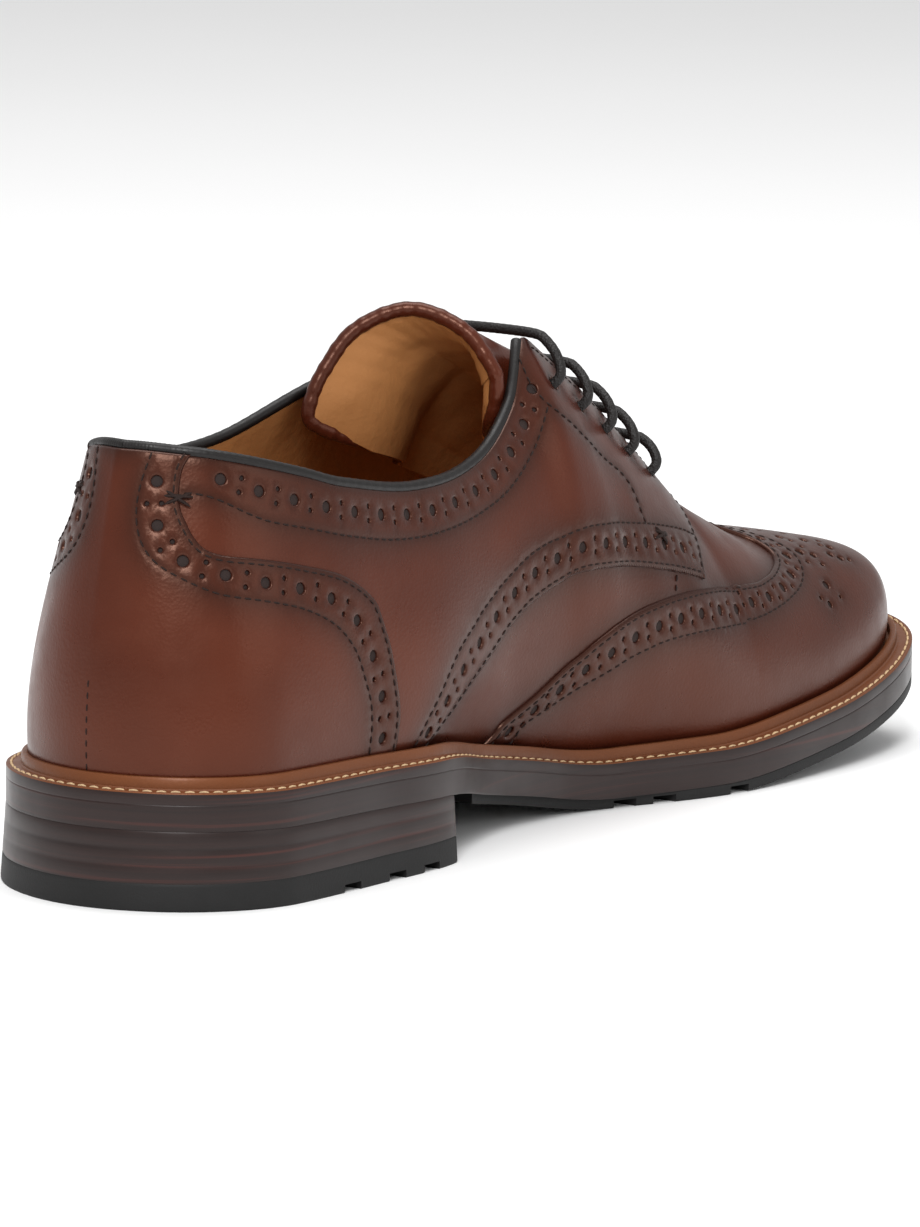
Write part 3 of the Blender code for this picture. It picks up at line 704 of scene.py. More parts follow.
def fill_in(cutting, loop, outline, folded, grooves):
    """Points along the folds and the sewn grooves, and then over the whole panel."""
    for places in folded:
        for inset in FOLD_ROWS:
            for way in (-1, 1):
                cutting.add(within(slide(places, way * inset), outline), apart=FOLD_APART)
    for places in grooves:
        for move in (0.0, -GROOVE_WIDTH, GROOVE_WIDTH):
            row = slide(places, move) if move else places
            cutting.add(within(row, outline), apart=GROOVE_APART)
    low, high = loop.min(0), loop.max(0)
    turns, heights = np.arange(low[0], high[0], TURN_PITCH), np.arange(low[1], high[1], HEIGHT_PITCH)
    grid = np.stack(np.meshgrid(turns, heights), -1)
    grid[1::2, :, 0] += TURN_PITCH / 2
    cutting.add(within(grid.reshape(-1, 2), outline), apart=GRID_APART)


def cut_panel(name, border, holes, grooves, top, back):
    """A closed sheet of leather with a folded border, holes and sewn grooves.

    Border is a list of (places, folded). Holes are (turn, height, radius). Grooves
    are lines of places. Top and back are offsets from the form.
    """
    loop = np.vstack([places[:-1] for places, _ in border])
    folded = [places for places, fold in border if fold]
    outline = flat_pattern(loop[:, 0], loop[:, 1])
    cutting = Cutting(holes)
    cutting.add(loop, closed=True)
    rings = punch(cutting, holes)
    fill_in(cutting, loop, outline, folded, grooves)
    faces = panel_faces(cutting, outline, rings)
    offset, near = panel_offsets(cutting, folded, grooves, top, back)
    return panel_sheet(name, cutting.places, faces, offset, back, near)


def panel_faces(cutting, outline, rings):
    """The flat pattern cut into triangles, with its holes left open."""
    flat = flat_pattern(cutting.places[:, 0], cutting.places[:, 1])
    flat_points = [Vector(point) for point in flat / MM]
    result = geometry.delaunay_2d_cdt(flat_points, cutting.edges, [], 0, 1e-5, True)
    corners, faces, origins = result[0], result[2], result[3]
    whole = tree_of([(*point, 0.0) for point in flat])
    source = np.array([
        origin[0] if origin else whole.find((corner[0] * MM, corner[1] * MM, 0.0))[1]
        for corner, origin in zip(corners, origins)
    ])
    faces = np.array([face for face in faces if len(face) == 3])
    keep = inside(outline, np.array([tuple(corner) for corner in corners])[faces].mean(1) * MM)
    ring_of = np.full(len(flat), -1)
    for i, ring in enumerate(rings):
        ring_of[list(ring)] = i
    of = ring_of[source[faces]]
    keep &= ~((of[:, 0] >= 0) & (of[:, 0] == of[:, 1]) & (of[:, 1] == of[:, 2]))
    faces = source[faces][keep]
    a, b, c = faces.T
    return faces[(a != b) & (b != c) & (a != c)]


def panel_offsets(cutting, folded, grooves, top, back):
    """How high each point lies over the form, and how far it is from an edge."""
    points = cutting.points
    edges = on_form(*np.vstack(folded).T) if folded else np.zeros((0, 3))
    near = distances(points, edges)
    bend = np.clip(1 - near / FOLD_RADIUS, 0, 1)
    offset = top - (top - back) * FOLD_DROP * (1 - np.sqrt(1 - bend**2 * 0.999))
    if cutting.centres is not None:
        found = [cutting.centres.find(point) for point in points]
        hole_far = np.array([hit[2] - cutting.radii[hit[1]] for hit in found])
        offset -= HOLE_DENT * np.clip(1 - hole_far / (0.5 * MM), 0, 1) ** 2
        near = np.minimum(near, hole_far + 1.2 * MM)
    if grooves:
        groove_far = distances(points, np.vstack([on_form(g[:, 0], g[:, 1]) for g in grooves]))
        offset -= GROOVE_DEPTH * np.clip(1 - groove_far / GROOVE_WIDTH, 0, 1)
        near = np.minimum(near, groove_far + 0.6 * MM)
    return offset, near


def panel_sheet(name, places, faces, offset, back, near):
    """The panel's triangles lifted onto the form and closed with a back and rims."""
    used = np.unique(faces)
    number = np.full(len(places), -1)
    number[used] = np.arange(len(used))
    faces, places = number[faces], places[used]
    upper = on_form(places[:, 0], places[:, 1], offset[used])
    under = on_form(places[:, 0], places[:, 1], np.full(len(used), back))
    a, b, c = (upper[faces[:, i]] for i in range(3))
    outward = form_normal(places[faces[:, 0], 0], places[faces[:, 0], 1])
    flip = (np.cross(b - a, c - a) * outward).sum(1) < 0
    faces[flip] = faces[flip][:, ::-1]
    count = len(used)
    sides = {(face[i - 1], face[i]) for face in faces for i in range(3)}
    rims = sorted((a, b) for a, b in sides if (b, a) not in sides)
    solid = [tuple(face) for face in faces] + [tuple(face[::-1] + count) for face in faces]
    solid += [(a + count, b + count, b, a) for a, b in rims]
    mesh = mesh_of(name, np.vstack([upper, under]), solid)
    burnish_mesh(mesh, np.exp(-np.maximum(near[used], 0) / BURNISH_REACH), 2)
    return mesh


def burnish_mesh(mesh, shares, times=1):
    """Store how dark the leather is at each point, for the material to read."""
    layer = mesh.attributes.new("burnish", "FLOAT", "POINT")
    layer.data.foreach_set("value", np.tile(shares, times).astype(np.float32))


def mesh_of(name, points, faces):
    """A mesh from points and faces as they are."""
    mesh = bpy.data.meshes.new(name)
    mesh.from_pydata([tuple(map(float, p)) for p in points], [], [tuple(map(int, f)) for f in faces])
    return mesh


# Materials


class Painter:
    """Short calls that wire the nodes of one material."""

    def __init__(self, name):
        self.material = bpy.data.materials.new(name)
        self.material.use_nodes = True
        self.tree = self.material.node_tree
        self.shader = self.tree.nodes["Principled BSDF"]

    def node(self, kind, **inputs):
        node = self.tree.nodes.new(kind)
        for key, value in inputs.items():
            self.put(node, key, value)
        return node

    def put(self, node, key, value):
        """Set an input by its name, or by its number as i0, i1 and so on."""
        numbered = key[0] == "i" and key[1:].isdigit()
        socket = node.inputs[int(key[1:]) if numbered else key.replace("_", " ")]
        if isinstance(value, bpy.types.NodeSocket):
            self.tree.links.new(value, socket)
        else:
            socket.default_value = value

    def place(self):
        return self.tree.nodes.new("ShaderNodeTexCoord").outputs["Object"]

    def noise(self, scale, detail=3.0, roughness=0.5, place=None):
        node = self.node("ShaderNodeTexNoise", Vector=place or self.place(), Scale=scale)
        self.put(node, "Detail", detail)
        self.put(node, "Roughness", roughness)
        return node.outputs["Fac"]

    def cells(self, scale):
        return self.node("ShaderNodeTexVoronoi", Vector=self.place(), Scale=scale).outputs["Distance"]

    def stretch(self, value, low, high, to_low=0.0, to_high=1.0):
        node = self.node("ShaderNodeMapRange", i0=value, i1=low, i2=high, i3=to_low, i4=to_high)
        return node.outputs[0]

    def sum(self, a, b, operation="ADD"):
        node = self.node("ShaderNodeMath", i0=a, i1=b)
        node.operation = operation
        return node.outputs[0]

    def mix(self, share, a, b):
        node = self.tree.nodes.new("ShaderNodeMix")
        node.data_type = "RGBA"
        self.put(node, "i0", share)
        self.put(node, "i6", a)
        self.put(node, "i7", b)
        return node.outputs[2]

    def burnish(self):
        node = self.tree.nodes.new("ShaderNodeAttribute")
        node.attribute_name = "burnish"
        return node.outputs["Fac"]

    def bump(self, height, strength, distance):
        node = self.node("ShaderNodeBump", Height=height, Strength=strength, Distance=distance)
        return node.outputs["Normal"]

    def finish(self, colour, roughness, normal=None, **plain):
        self.put(self.shader, "Base_Color", colour)
        self.put(self.shader, "Roughness", roughness)
        if normal is not None:
            self.put(self.shader, "Normal", normal)
        for key, value in plain.items():
            self.put(self.shader, key, value)
        return self.material


def rgba(colour):
    return (*tuple(colour)[:3], 1.0)


def leather(name, colour, dark, warm, gloss, grain=1.0, coat=0.04, wrinkles=0.0):
    """Smooth calf leather: burnished at seams, warmer where it is worn."""
    paint = Painter(name)
    patches = paint.stretch(paint.noise(22, 2.0), 0.35, 0.7)
    tone = paint.mix(patches, rgba(colour), rgba(warm))
    cloud = paint.stretch(paint.noise(9, 1.0), 0.42, 0.62, 0.0, 0.35)
    tone = paint.mix(cloud, tone, rgba(dark))
    edge = paint.stretch(paint.burnish(), 0.15, 0.9, 0.0, 0.9)
    tone = paint.mix(edge, tone, rgba(dark))
    pores = paint.cells(1300 / grain)
    fine = paint.noise(900 / grain, 4.0, 0.6)
    height = paint.sum(pores, fine, "ADD")
    rough = paint.stretch(paint.noise(160, 3.0), 0.3, 0.7, gloss - 0.04, gloss + 0.07)
    if wrinkles:
        creases = paint.noise(75, 5.0, 0.62)
        height = paint.sum(height, paint.sum(creases, wrinkles, "MULTIPLY"))
    normal = paint.bump(height, 0.22, 0.00012)
    return paint.finish(
        tone, rough, normal, Coat_Weight=coat, Coat_Roughness=0.25,
        Specular_IOR_Level=0.5, Specular_Tint=(1.0, 0.55, 0.4, 1.0))


def add(name, mesh, material, smooth_angle=50, replaces=()):
    """A finished piece of the shoe, riding on its body."""
    piece = bpy.data.objects.new(name, mesh)
    bpy.context.scene.collection.objects.link(piece)
    for one in material if isinstance(material, (list, tuple)) else [material]:
        mesh.materials.append(one)
    mesh.shade_smooth()
    mesh.set_sharp_from_angle(angle=math.radians(smooth_angle))
    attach(piece, BODY)
    if replaces:
        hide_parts(*replaces)
    return piece


def plain_mesh(name, points, faces):
    """A mesh with doubled points merged and all faces turned outwards."""
    mesh = mesh_of(name, points, faces)
    shape = bmesh.new()
    shape.from_mesh(mesh)
    bmesh.ops.remove_doubles(shape, verts=shape.verts, dist=MERGE)
    bmesh.ops.dissolve_degenerate(shape, edges=shape.edges, dist=MERGE)
    bmesh.ops.recalc_face_normals(shape, faces=shape.faces)
    shape.to_mesh(mesh)
    shape.free()
    return mesh


def ring_faces(rings, size, closed=False):
    """Faces round a row of rings, with caps where the row is open."""
    faces = []
    for i in range(rings if closed else rings - 1):
        a, b = i * size, ((i + 1) % rings) * size
        for j in range(size):
            k = (j + 1) % size
            faces.append((a + j, a + k, b + k, b + j))
    if not closed:
        faces.append(tuple(range(size)))
        faces.append(tuple((rings - 1) * size + j for j in range(size)))
    return faces


def tube(path, radius, sides):
    """Points and faces of a round cord along a path, with a radius at each point."""
    tangent = np.gradient(path, axis=0)
    tangent /= np.linalg.norm(tangent, axis=1)[:, None]
    angle = np.arange(sides) * 2 * math.pi / sides
    normal = np.array((0.1, 0.2, 1.0))
    rings = []
    for i in range(len(path)):
        normal = normal - tangent[i] * (normal @ tangent[i])
        normal /= np.linalg.norm(normal)
        other = np.cross(tangent[i], normal)
        ring = np.cos(angle)[:, None] * normal + np.sin(angle)[:, None] * other
        rings.append(path[i] + ring * radius[i])
    return np.vstack(rings), ring_faces(len(path), sides)


def joined(name, parts):
    """One mesh from several lots of points and faces."""
    points, faces, count = [], [], 0
    for some, sides in parts:
        points.append(some)
        faces += [tuple(i + count for i in face) for face in sides]
        count += len(some)
    mesh = mesh_of(name, np.vstack(points), faces)
    shape = bmesh.new()
    shape.from_mesh(mesh)
    bmesh.ops.recalc_face_normals(shape, faces=shape.faces)
    shape.to_mesh(mesh)
    shape.free()
    return mesh


# Seams of the upper, read off the shoe. Turn is the place along the sole edge and
# height the share of the wall's height.

COUNTER_FOLD = (
    # turn, height
    (0.132, 1.000), (0.122, 0.960), (0.118, 0.925), (0.116, 0.881), (0.117, 0.837), (0.123, 0.798),
    (0.130, 0.761), (0.140, 0.730), (0.154, 0.716), (0.169, 0.712), (0.184, 0.712), (0.199, 0.711),
    (0.214, 0.709), (0.230, 0.706), (0.245, 0.701), (0.260, 0.696), (0.275, 0.688), (0.288, 0.668),
    (0.299, 0.637), (0.308, 0.596), (0.312, 0.546), (0.315, 0.493), (0.318, 0.439), (0.320, 0.384),
    (0.322, 0.328), (0.324, 0.272), (0.326, 0.215), (0.327, 0.157), (0.327, 0.100), (0.327, 0.000),
)
COUNTER_SEAM = (
    # turn, height
    (0.077, 1.000), (0.071, 0.969), (0.063, 0.926), (0.057, 0.883), (0.054, 0.839), (0.055, 0.795),
    (0.060, 0.752), (0.069, 0.714), (0.082, 0.682), (0.097, 0.658), (0.112, 0.640), (0.127, 0.622),
    (0.141, 0.607), (0.155, 0.596), (0.170, 0.591), (0.185, 0.587), (0.200, 0.582), (0.215, 0.575),
    (0.231, 0.566), (0.245, 0.550), (0.259, 0.528), (0.271, 0.497), (0.280, 0.456), (0.287, 0.408),
    (0.291, 0.356), (0.295, 0.302), (0.299, 0.246), (0.301, 0.190), (0.302, 0.133), (0.302, 0.077),
    (0.302, 0.000),
)
COLLAR_SEAM = (
    # turn, height
    (0.120, 0.886), (0.132, 0.888), (0.149, 0.884), (0.164, 0.874), (0.178, 0.859), (0.191, 0.845),
    (0.205, 0.833), (0.220, 0.828), (0.235, 0.827), (0.250, 0.826), (0.266, 0.825), (0.282, 0.825),
    (0.297, 0.823), (0.312, 0.820), (0.327, 0.819), (0.341, 0.821), (0.355, 0.824), (0.369, 0.827),
    (0.383, 0.833), (0.398, 0.840), (0.413, 0.847), (0.427, 0.853), (0.441, 0.855), (0.453, 0.854),
    (0.463, 0.854), (0.472, 0.856), (0.481, 0.857), (0.488, 0.853), (0.495, 0.844), (0.501, 0.840),
)
FACING_SEAM = (
    # turn, height
    (0.498, 1.000), (0.497, 0.968), (0.496, 0.936), (0.498, 0.888), (0.502, 0.834), (0.510, 0.785),
    (0.521, 0.766), (0.529, 0.751), (0.539, 0.742), (0.549, 0.731), (0.558, 0.722), (0.563, 0.699),
    (0.565, 0.668), (0.565, 0.627), (0.566, 0.590),
)
QUARTER_FOLD = (
    # turn, height
    (0.359, 0.000), (0.368, 0.051), (0.375, 0.096), (0.383, 0.142), (0.390, 0.189), (0.397, 0.236),
    (0.405, 0.283), (0.413, 0.328), (0.421, 0.370), (0.429, 0.410), (0.437, 0.444), (0.447, 0.470),
    (0.456, 0.487), (0.467, 0.493), (0.478, 0.492), (0.486, 0.485), (0.490, 0.477), (0.494, 0.468),
    (0.498, 0.458), (0.502, 0.450), (0.506, 0.443), (0.511, 0.441), (0.516, 0.443), (0.520, 0.446),
    (0.525, 0.451), (0.544, 0.467), (0.557, 0.475), (0.569, 0.481), (0.582, 0.491), (0.595, 0.499),
    (0.608, 0.505),
)
QUARTER_SEAM = (
    # turn, height
    (0.344, 0.000), (0.351, 0.086), (0.355, 0.136), (0.360, 0.186), (0.365, 0.237), (0.370, 0.288),
    (0.375, 0.338), (0.381, 0.388), (0.389, 0.435), (0.398, 0.478), (0.406, 0.520), (0.416, 0.558),
    (0.426, 0.590), (0.437, 0.613), (0.448, 0.628), (0.459, 0.633), (0.470, 0.625), (0.480, 0.611),
    (0.483, 0.603), (0.487, 0.592), (0.491, 0.579), (0.495, 0.565), (0.499, 0.553), (0.503, 0.542),
    (0.508, 0.536), (0.513, 0.535), (0.522, 0.543), (0.539, 0.564), (0.555, 0.582), (0.568, 0.598),
    (0.584, 0.621), (0.599, 0.645), (0.615, 0.665),
)
FACING_FRONT = (
    # turn, height
    (0.608, 0.505), (0.611, 0.563), (0.616, 0.627), (0.619, 0.690), (0.625, 0.782), (0.629, 0.890),
    (0.633, 1.000),
)
WING_FOLD = (
    # turn, height
    (0.442, 0.000), (0.448, 0.060), (0.451, 0.100), (0.458, 0.136), (0.465, 0.164), (0.472, 0.190),
    (0.479, 0.216), (0.486, 0.238), (0.493, 0.252), (0.502, 0.263), (0.510, 0.279), (0.519, 0.301),
    (0.528, 0.325), (0.539, 0.348), (0.550, 0.370), (0.561, 0.391), (0.573, 0.413), (0.586, 0.436),
    (0.597, 0.457), (0.606, 0.474), (0.617, 0.494), (0.623, 0.501), (0.630, 0.497), (0.636, 0.471),
    (0.641, 0.454), (0.648, 0.457), (0.654, 0.461), (0.660, 0.465), (0.673, 0.479), (0.700, 0.531),
    (0.728, 0.623), (0.737, 0.699), (0.739, 0.767), (0.731, 0.840), (0.714, 0.920), (0.690, 1.000),
)
WING_SEAM = (
    # turn, height
    (0.460, 0.000), (0.465, 0.052), (0.467, 0.094), (0.474, 0.122), (0.482, 0.144), (0.490, 0.162),
    (0.498, 0.176), (0.506, 0.188), (0.515, 0.203), (0.524, 0.223), (0.533, 0.243), (0.543, 0.261),
    (0.553, 0.278), (0.562, 0.294), (0.573, 0.308), (0.585, 0.323), (0.597, 0.339), (0.610, 0.356),
    (0.615, 0.362), (0.620, 0.368), (0.625, 0.372), (0.630, 0.369), (0.636, 0.353), (0.641, 0.342),
    (0.648, 0.347), (0.658, 0.355), (0.677, 0.377), (0.697, 0.407), (0.720, 0.454), (0.740, 0.516),
    (0.755, 0.591), (0.763, 0.665), (0.766, 0.750), (0.760, 0.840), (0.747, 0.925), (0.730, 1.000),
)
VAMP_SEAM = ((0.585, 0.49), (0.577, 0.40))
LACE_HOLES = (
    # turn, height
    (0.518, 0.870), (0.545, 0.872), (0.564, 0.860), (0.583, 0.853), (0.603, 0.858),
)
COLLAR_END = 0.505
QUARTER_BACK = 0.035

# Where the threads of a stitch bend: along, size and lift

STITCH_ROWS = (
    (-0.5, 0.35, -0.9),
    (-0.36, 0.85, -0.1),
    (0.0, 1.0, 0.25),
    (0.36, 0.85, -0.1),
    (0.5, 0.35, -0.9),
)
STITCH_SIDES = 6


def along_seam(line, distance):
    """Part of a line left after a length is cut off both its ends."""
    run = run_of(on_form(line[:, 0], line[:, 1]))
    return line[(run >= distance[0]) & (run <= run[-1] - distance[1])]


def brogue_row(line, ends, pitch):
    """Big holes with pairs of small ones between them, along a line."""
    line = even_steps(along_seam(line, ends), pitch / 2)
    spread, big, small = sizes().pair_spread, sizes().big_hole, sizes().small_hole
    wide = slide(line, spread)
    low = slide(line, -spread)
    holes = []
    for i, place in enumerate(line):
        if i % 2 == 0:
            holes.append((*place, big))
        else:
            holes += [(*wide[i], small), (*low[i], small)]
    return holes


def between(a, b, share=0.5, step=MM):
    """The line that runs between two lines of places."""
    count = max(len(a), len(b))
    s = np.linspace(0, 1, count)
    a, b = even_steps(a, step), even_steps(b, step)

    def read(line):
        t = np.linspace(0, 1, len(line))
        return np.stack([np.interp(s, t, line[:, 0]), np.interp(s, t, line[:, 1])], 1)

    return even_steps(read(a) * (1 - share) + read(b) * share, step)


def level(start, end, height, side, step=MM):
    """A line at one height between two turns."""
    count = int(abs(end - start) / 0.002) + 2
    line = np.stack([np.linspace(start, end, count), np.full(count, height)], 1)
    return even_steps(onto_side(line, side), step)


def upright(turn, low, high, side, step=MM):
    """A line at one turn between two heights."""
    line = np.stack([np.full(40, turn), np.linspace(low, high, 40)], 1)
    return even_steps(onto_side(line, side), step)


def rounded_border(lines):
    """Joins lines end to end into one border, each with its own fold."""
    border = []
    for i, (line, fold) in enumerate(lines):
        after = lines[(i + 1) % len(lines)][0]
        line = line.copy()
        line[-1] = after[0]
        border.append((line, fold))
    return border


QUARTER_ROWS = ("fold_stitch", "front_stitch", "seam", "collar", "facing", "facing_edge")


def quarter_lines(side):
    """The folds, seams and sewn rows of a quarter."""
    up = side_sign(side)
    fold = seam(QUARTER_FOLD, side)
    front = seam(FACING_FRONT, side)
    return {
        "fold": fold,
        "front": front,
        "fold_stitch": along_seam(slide(fold, EDGE_SEAM * up), (1 * MM, 1.5 * MM)),
        "front_stitch": along_seam(slide(front, 1.4 * MM * up), (1.3 * MM, 1.5 * MM)),
        "seam": seam(QUARTER_SEAM, side),
        "collar": seam(COLLAR_SEAM, side),
        "collar_edge": level(0.135, 0.475, 0.975, side),
        "facing": seam(FACING_SEAM, side),
        "facing_edge": level(0.512, 0.628, 0.965, side),
    }


def lace_holes(side):
    """The holes that the lace runs through."""
    return [(*place, sizes().lace_hole) for place in onto_side(LACE_HOLES, side)]


def quarter_holes(side, lines):
    """The holes of a quarter, along its fold, its collar and its facing."""
    band = between(slide(lines["fold"], EDGE_SEAM * side_sign(side)), lines["seam"])
    collar = between(level(0.140, 0.500, 1.0, side), lines["collar"])
    rows = brogue_row(band, (6 * MM, 5 * MM), sizes().quarter_pitch)
    return rows + brogue_row(collar, (7 * MM, 3 * MM), sizes().collar_pitch) + lace_holes(side)


def quarter_panel(side):
    """A quarter, from the centre back to the end of its facing."""
    lines = quarter_lines(side)
    border = rounded_border([
        (lines["fold"], True),
        (lines["front"], True),
        (level(0.633, QUARTER_BACK, 1.0, side), True),
        (upright(QUARTER_BACK, 1.0, 0.0, side), False),
        (level(QUARTER_BACK, foot_share(lines["fold"]), 0.0, side), False),
    ])
    grooves = [lines[key] for key in QUARTER_ROWS]
    name = "quarter_inner" if side == INNER else "quarter_outer"
    return cut_panel(name, border, quarter_holes(side, lines), grooves, 0.0, -LEATHER)


def both_ways(rows):
    """A seam on the inner side and on the outer side."""
    return seam(rows, INNER), seam(rows, OUTER)


def wing_panel():
    """The wing cap, over both sides of the toe."""
    fold_in, fold_out = both_ways(WING_FOLD)
    seam_in, seam_out = both_ways(WING_SEAM)
    border = rounded_border([
        (fold_in, True),
        (fold_out[::-1], True),
        (level(foot_share(fold_out), 1.0, 0.0, OUTER), False),
        (level(1.0, foot_share(fold_in), 0.0, INNER), False),
    ])
    grooves = [seam_in, seam_out, slide(fold_in, -EDGE_SEAM), slide(fold_out, EDGE_SEAM)]
    return cut_panel("wing_cap", border, wing_holes(), grooves, 0.0, -LEATHER)


MEDALLION = (
    # turn, height, radius in mm
    (0.786, 0.653, 0.5), (0.771, 0.626, 1.1), (0.781, 0.585, 0.9), (0.762, 0.560, 0.5),
    (0.791, 0.713, 0.5), (0.790, 0.760, 1.0), (0.819, 0.630, 0.5), (0.826, 0.594, 0.9),
    (0.806, 0.556, 0.9), (0.812, 0.512, 0.9), (0.822, 0.480, 0.5), (0.776, 0.522, 0.5),
    (0.755, 0.428, 1.1), (0.736, 0.385, 0.5), (0.743, 0.345, 0.9), (0.762, 0.352, 0.5),
    (0.815, 0.700, 1.0), (0.835, 0.660, 0.5), (0.800, 0.860, 0.5), (0.780, 0.880, 1.0),
    (0.825, 0.800, 0.5),
)


def medallion():
    """The pattern of holes on the toe, mirrored over the ridge."""
    holes = []
    for side in (INNER, OUTER):
        for turn, height, radius in MEDALLION:
            holes.append((*onto_side([(turn, height)], side)[0], radius * MM))
    return holes


def round_heel(turn, height, first, last):
    """A line at one height from a turn on one side, round the heel, to the other side."""
    return np.vstack([level(turn, 0.0, height, first)[:-1], level(0.0, turn, height, last)])


def counter_panel():
    """The heel counter, round the back of the shoe."""
    fold_in, fold_out = both_ways(COUNTER_FOLD)
    seam_in, seam_out = both_ways(COUNTER_SEAM)
    border = rounded_border([
        (fold_in[::-1], True),
        (round_heel(COUNTER_FOLD[0][0], 1.0, INNER, OUTER), True),
        (fold_out, True),
        (round_heel(COUNTER_FOLD[-1][0], 0.0, OUTER, INNER), False),
    ])
    border = [(wrap_heel(line), fold) for line, fold in border]
    rows = (slide(fold_in, -EDGE_SEAM), slide(fold_out, EDGE_SEAM), seam_in, seam_out)
    grooves = [wrap_heel(row) for row in rows]
    return cut_panel("heel_counter", border, counter_holes(), grooves, COUNTER_TOP, -0.25 * MM)


def wrap_heel(line):
    """Turns near the heel counted from below zero, so that they run on."""
    line = line.copy()
    line[:, 0] = np.where(line[:, 0] > 1, line[:, 0] - 2, line[:, 0])
    return line


def stitch_row(line, offset):
    """One sewn row: short threads that dip into the leather at both ends."""
    line = even_steps(line, sizes().stitch_pitch)
    middle = (line[1:] + line[:-1]) / 2
    points = on_form(middle[:, 0], middle[:, 1], np.full(len(middle), offset))
    ends = on_form(line[:, 0], line[:, 1], np.full(len(line), offset))
    ways = ends[1:] - ends[:-1]
    ways /= np.linalg.norm(ways, axis=1)[:, None]
    normals = form_normal(middle[:, 0], middle[:, 1])
    return stitches(points, ways, normals, sizes().stitch_length, sizes().stitch_radius)


def stitches(points, ways, normals, length, radius):
    """Short threads at points, each laid along its way."""
    angle = np.arange(STITCH_SIDES) * 2 * math.pi / STITCH_SIDES
    parts = []
    for point, way, normal in zip(points, ways, normals):
        across = np.cross(normal, way)
        ring = np.cos(angle)[:, None] * across + np.sin(angle)[:, None] * normal
        rings = []
        for along, size, lift in STITCH_ROWS:
            centre = point + way * along * length + normal * lift * radius
            rings.append(centre + ring * size * radius)
        parts.append((np.vstack(rings), ring_faces(len(STITCH_ROWS), STITCH_SIDES)))
    return parts


def bar_tack(turn, height, side, offset):
    """Two heavy crossed threads that lock the end of a seam."""
    place = onto_side([(turn, height)], side)
    along, up = form_ways(place[:, 0], place[:, 1])
    point = on_form(place[:, 0], place[:, 1], np.array([offset]))[0]
    normal = form_normal(place[:, 0], place[:, 1])[0]
    across = along[0] / np.linalg.norm(along[0])
    rise = np.cross(normal, across)
    parts = []
    for lean, shift in ((0.5, 0.0), (-0.5, 0.0), (0.05, 0.5 * MM)):
        way = across * math.cos(lean) + rise * math.sin(lean)
        at = point + rise * shift
        parts += stitches([at], [way], [normal], 6.5 * MM, 0.42 * MM)
    return parts


# Sizes and colours that a user would change


class BrogueSizes(bpy.types.PropertyGroup):
    """Sizes of the holes, the seams and the lace."""

    big_hole: bpy.props.FloatProperty(
        name="Big holes", description="Radius of the big punched holes", default=1.3 * MM,
        min=0, precision=5, subtype="DISTANCE", unit="LENGTH")
    small_hole: bpy.props.FloatProperty(
        name="Small holes", description="Radius of the small punched holes", default=0.55 * MM,
        min=0, precision=5, subtype="DISTANCE", unit="LENGTH")
    pair_spread: bpy.props.FloatProperty(
        name="Pair spread", description="From a small hole to the middle of its row", default=1.6 * MM,
        min=0, precision=5, subtype="DISTANCE", unit="LENGTH")
    collar_pitch: bpy.props.FloatProperty(
        name="Collar pitch", description="Distance between big holes under the collar", default=9.8 * MM,
        min=0, precision=5, subtype="DISTANCE", unit="LENGTH")
    counter_pitch: bpy.props.FloatProperty(
        name="Counter pitch", description="Distance between big holes of the heel counter", default=9.8 * MM,
        min=0, precision=5, subtype="DISTANCE", unit="LENGTH")
    quarter_pitch: bpy.props.FloatProperty(
        name="Quarter pitch", description="Distance between big holes of the quarters", default=9.0 * MM,
        min=0, precision=5, subtype="DISTANCE", unit="LENGTH")
    wing_pitch: bpy.props.FloatProperty(
        name="Wing pitch", description="Distance between big holes of the wing cap", default=8.6 * MM,
        min=0, precision=5, subtype="DISTANCE", unit="LENGTH")
    lace_hole: bpy.props.FloatProperty(
        name="Lace holes", description="Radius of the lace holes", default=1.7 * MM,
        min=0, precision=5, subtype="DISTANCE", unit="LENGTH")
    lace_radius: bpy.props.FloatProperty(
        name="Lace", description="Radius of the lace", default=0.9 * LACE_RADIUS,
        min=0, precision=5, subtype="DISTANCE", unit="LENGTH")
    stitch_pitch: bpy.props.FloatProperty(
        name="Stitch pitch", description="Distance between the upper's stitches", default=2.5 * MM,
        min=0, precision=5, subtype="DISTANCE", unit="LENGTH")
    stitch_length: bpy.props.FloatProperty(
        name="Stitch length", description="Length of the upper's stitches", default=1.75 * MM,
        min=0, precision=5, subtype="DISTANCE", unit="LENGTH")
    stitch_radius: bpy.props.FloatProperty(
        name="Thread", description="Radius of the upper's thread", default=0.21 * MM,
        min=0, precision=5, subtype="DISTANCE", unit="LENGTH")
    welt_seam: bpy.props.FloatProperty(
        name="Welt seam", description="How far the welt's seam lies from its edge", default=1.15 * MM,
        min=0, precision=5, subtype="DISTANCE", unit="LENGTH")
    welt_pitch: bpy.props.FloatProperty(
        name="Welt stitch pitch", description="Distance between the welt's stitches", default=3.1 * MM,
        min=0, precision=5, subtype="DISTANCE", unit="LENGTH")


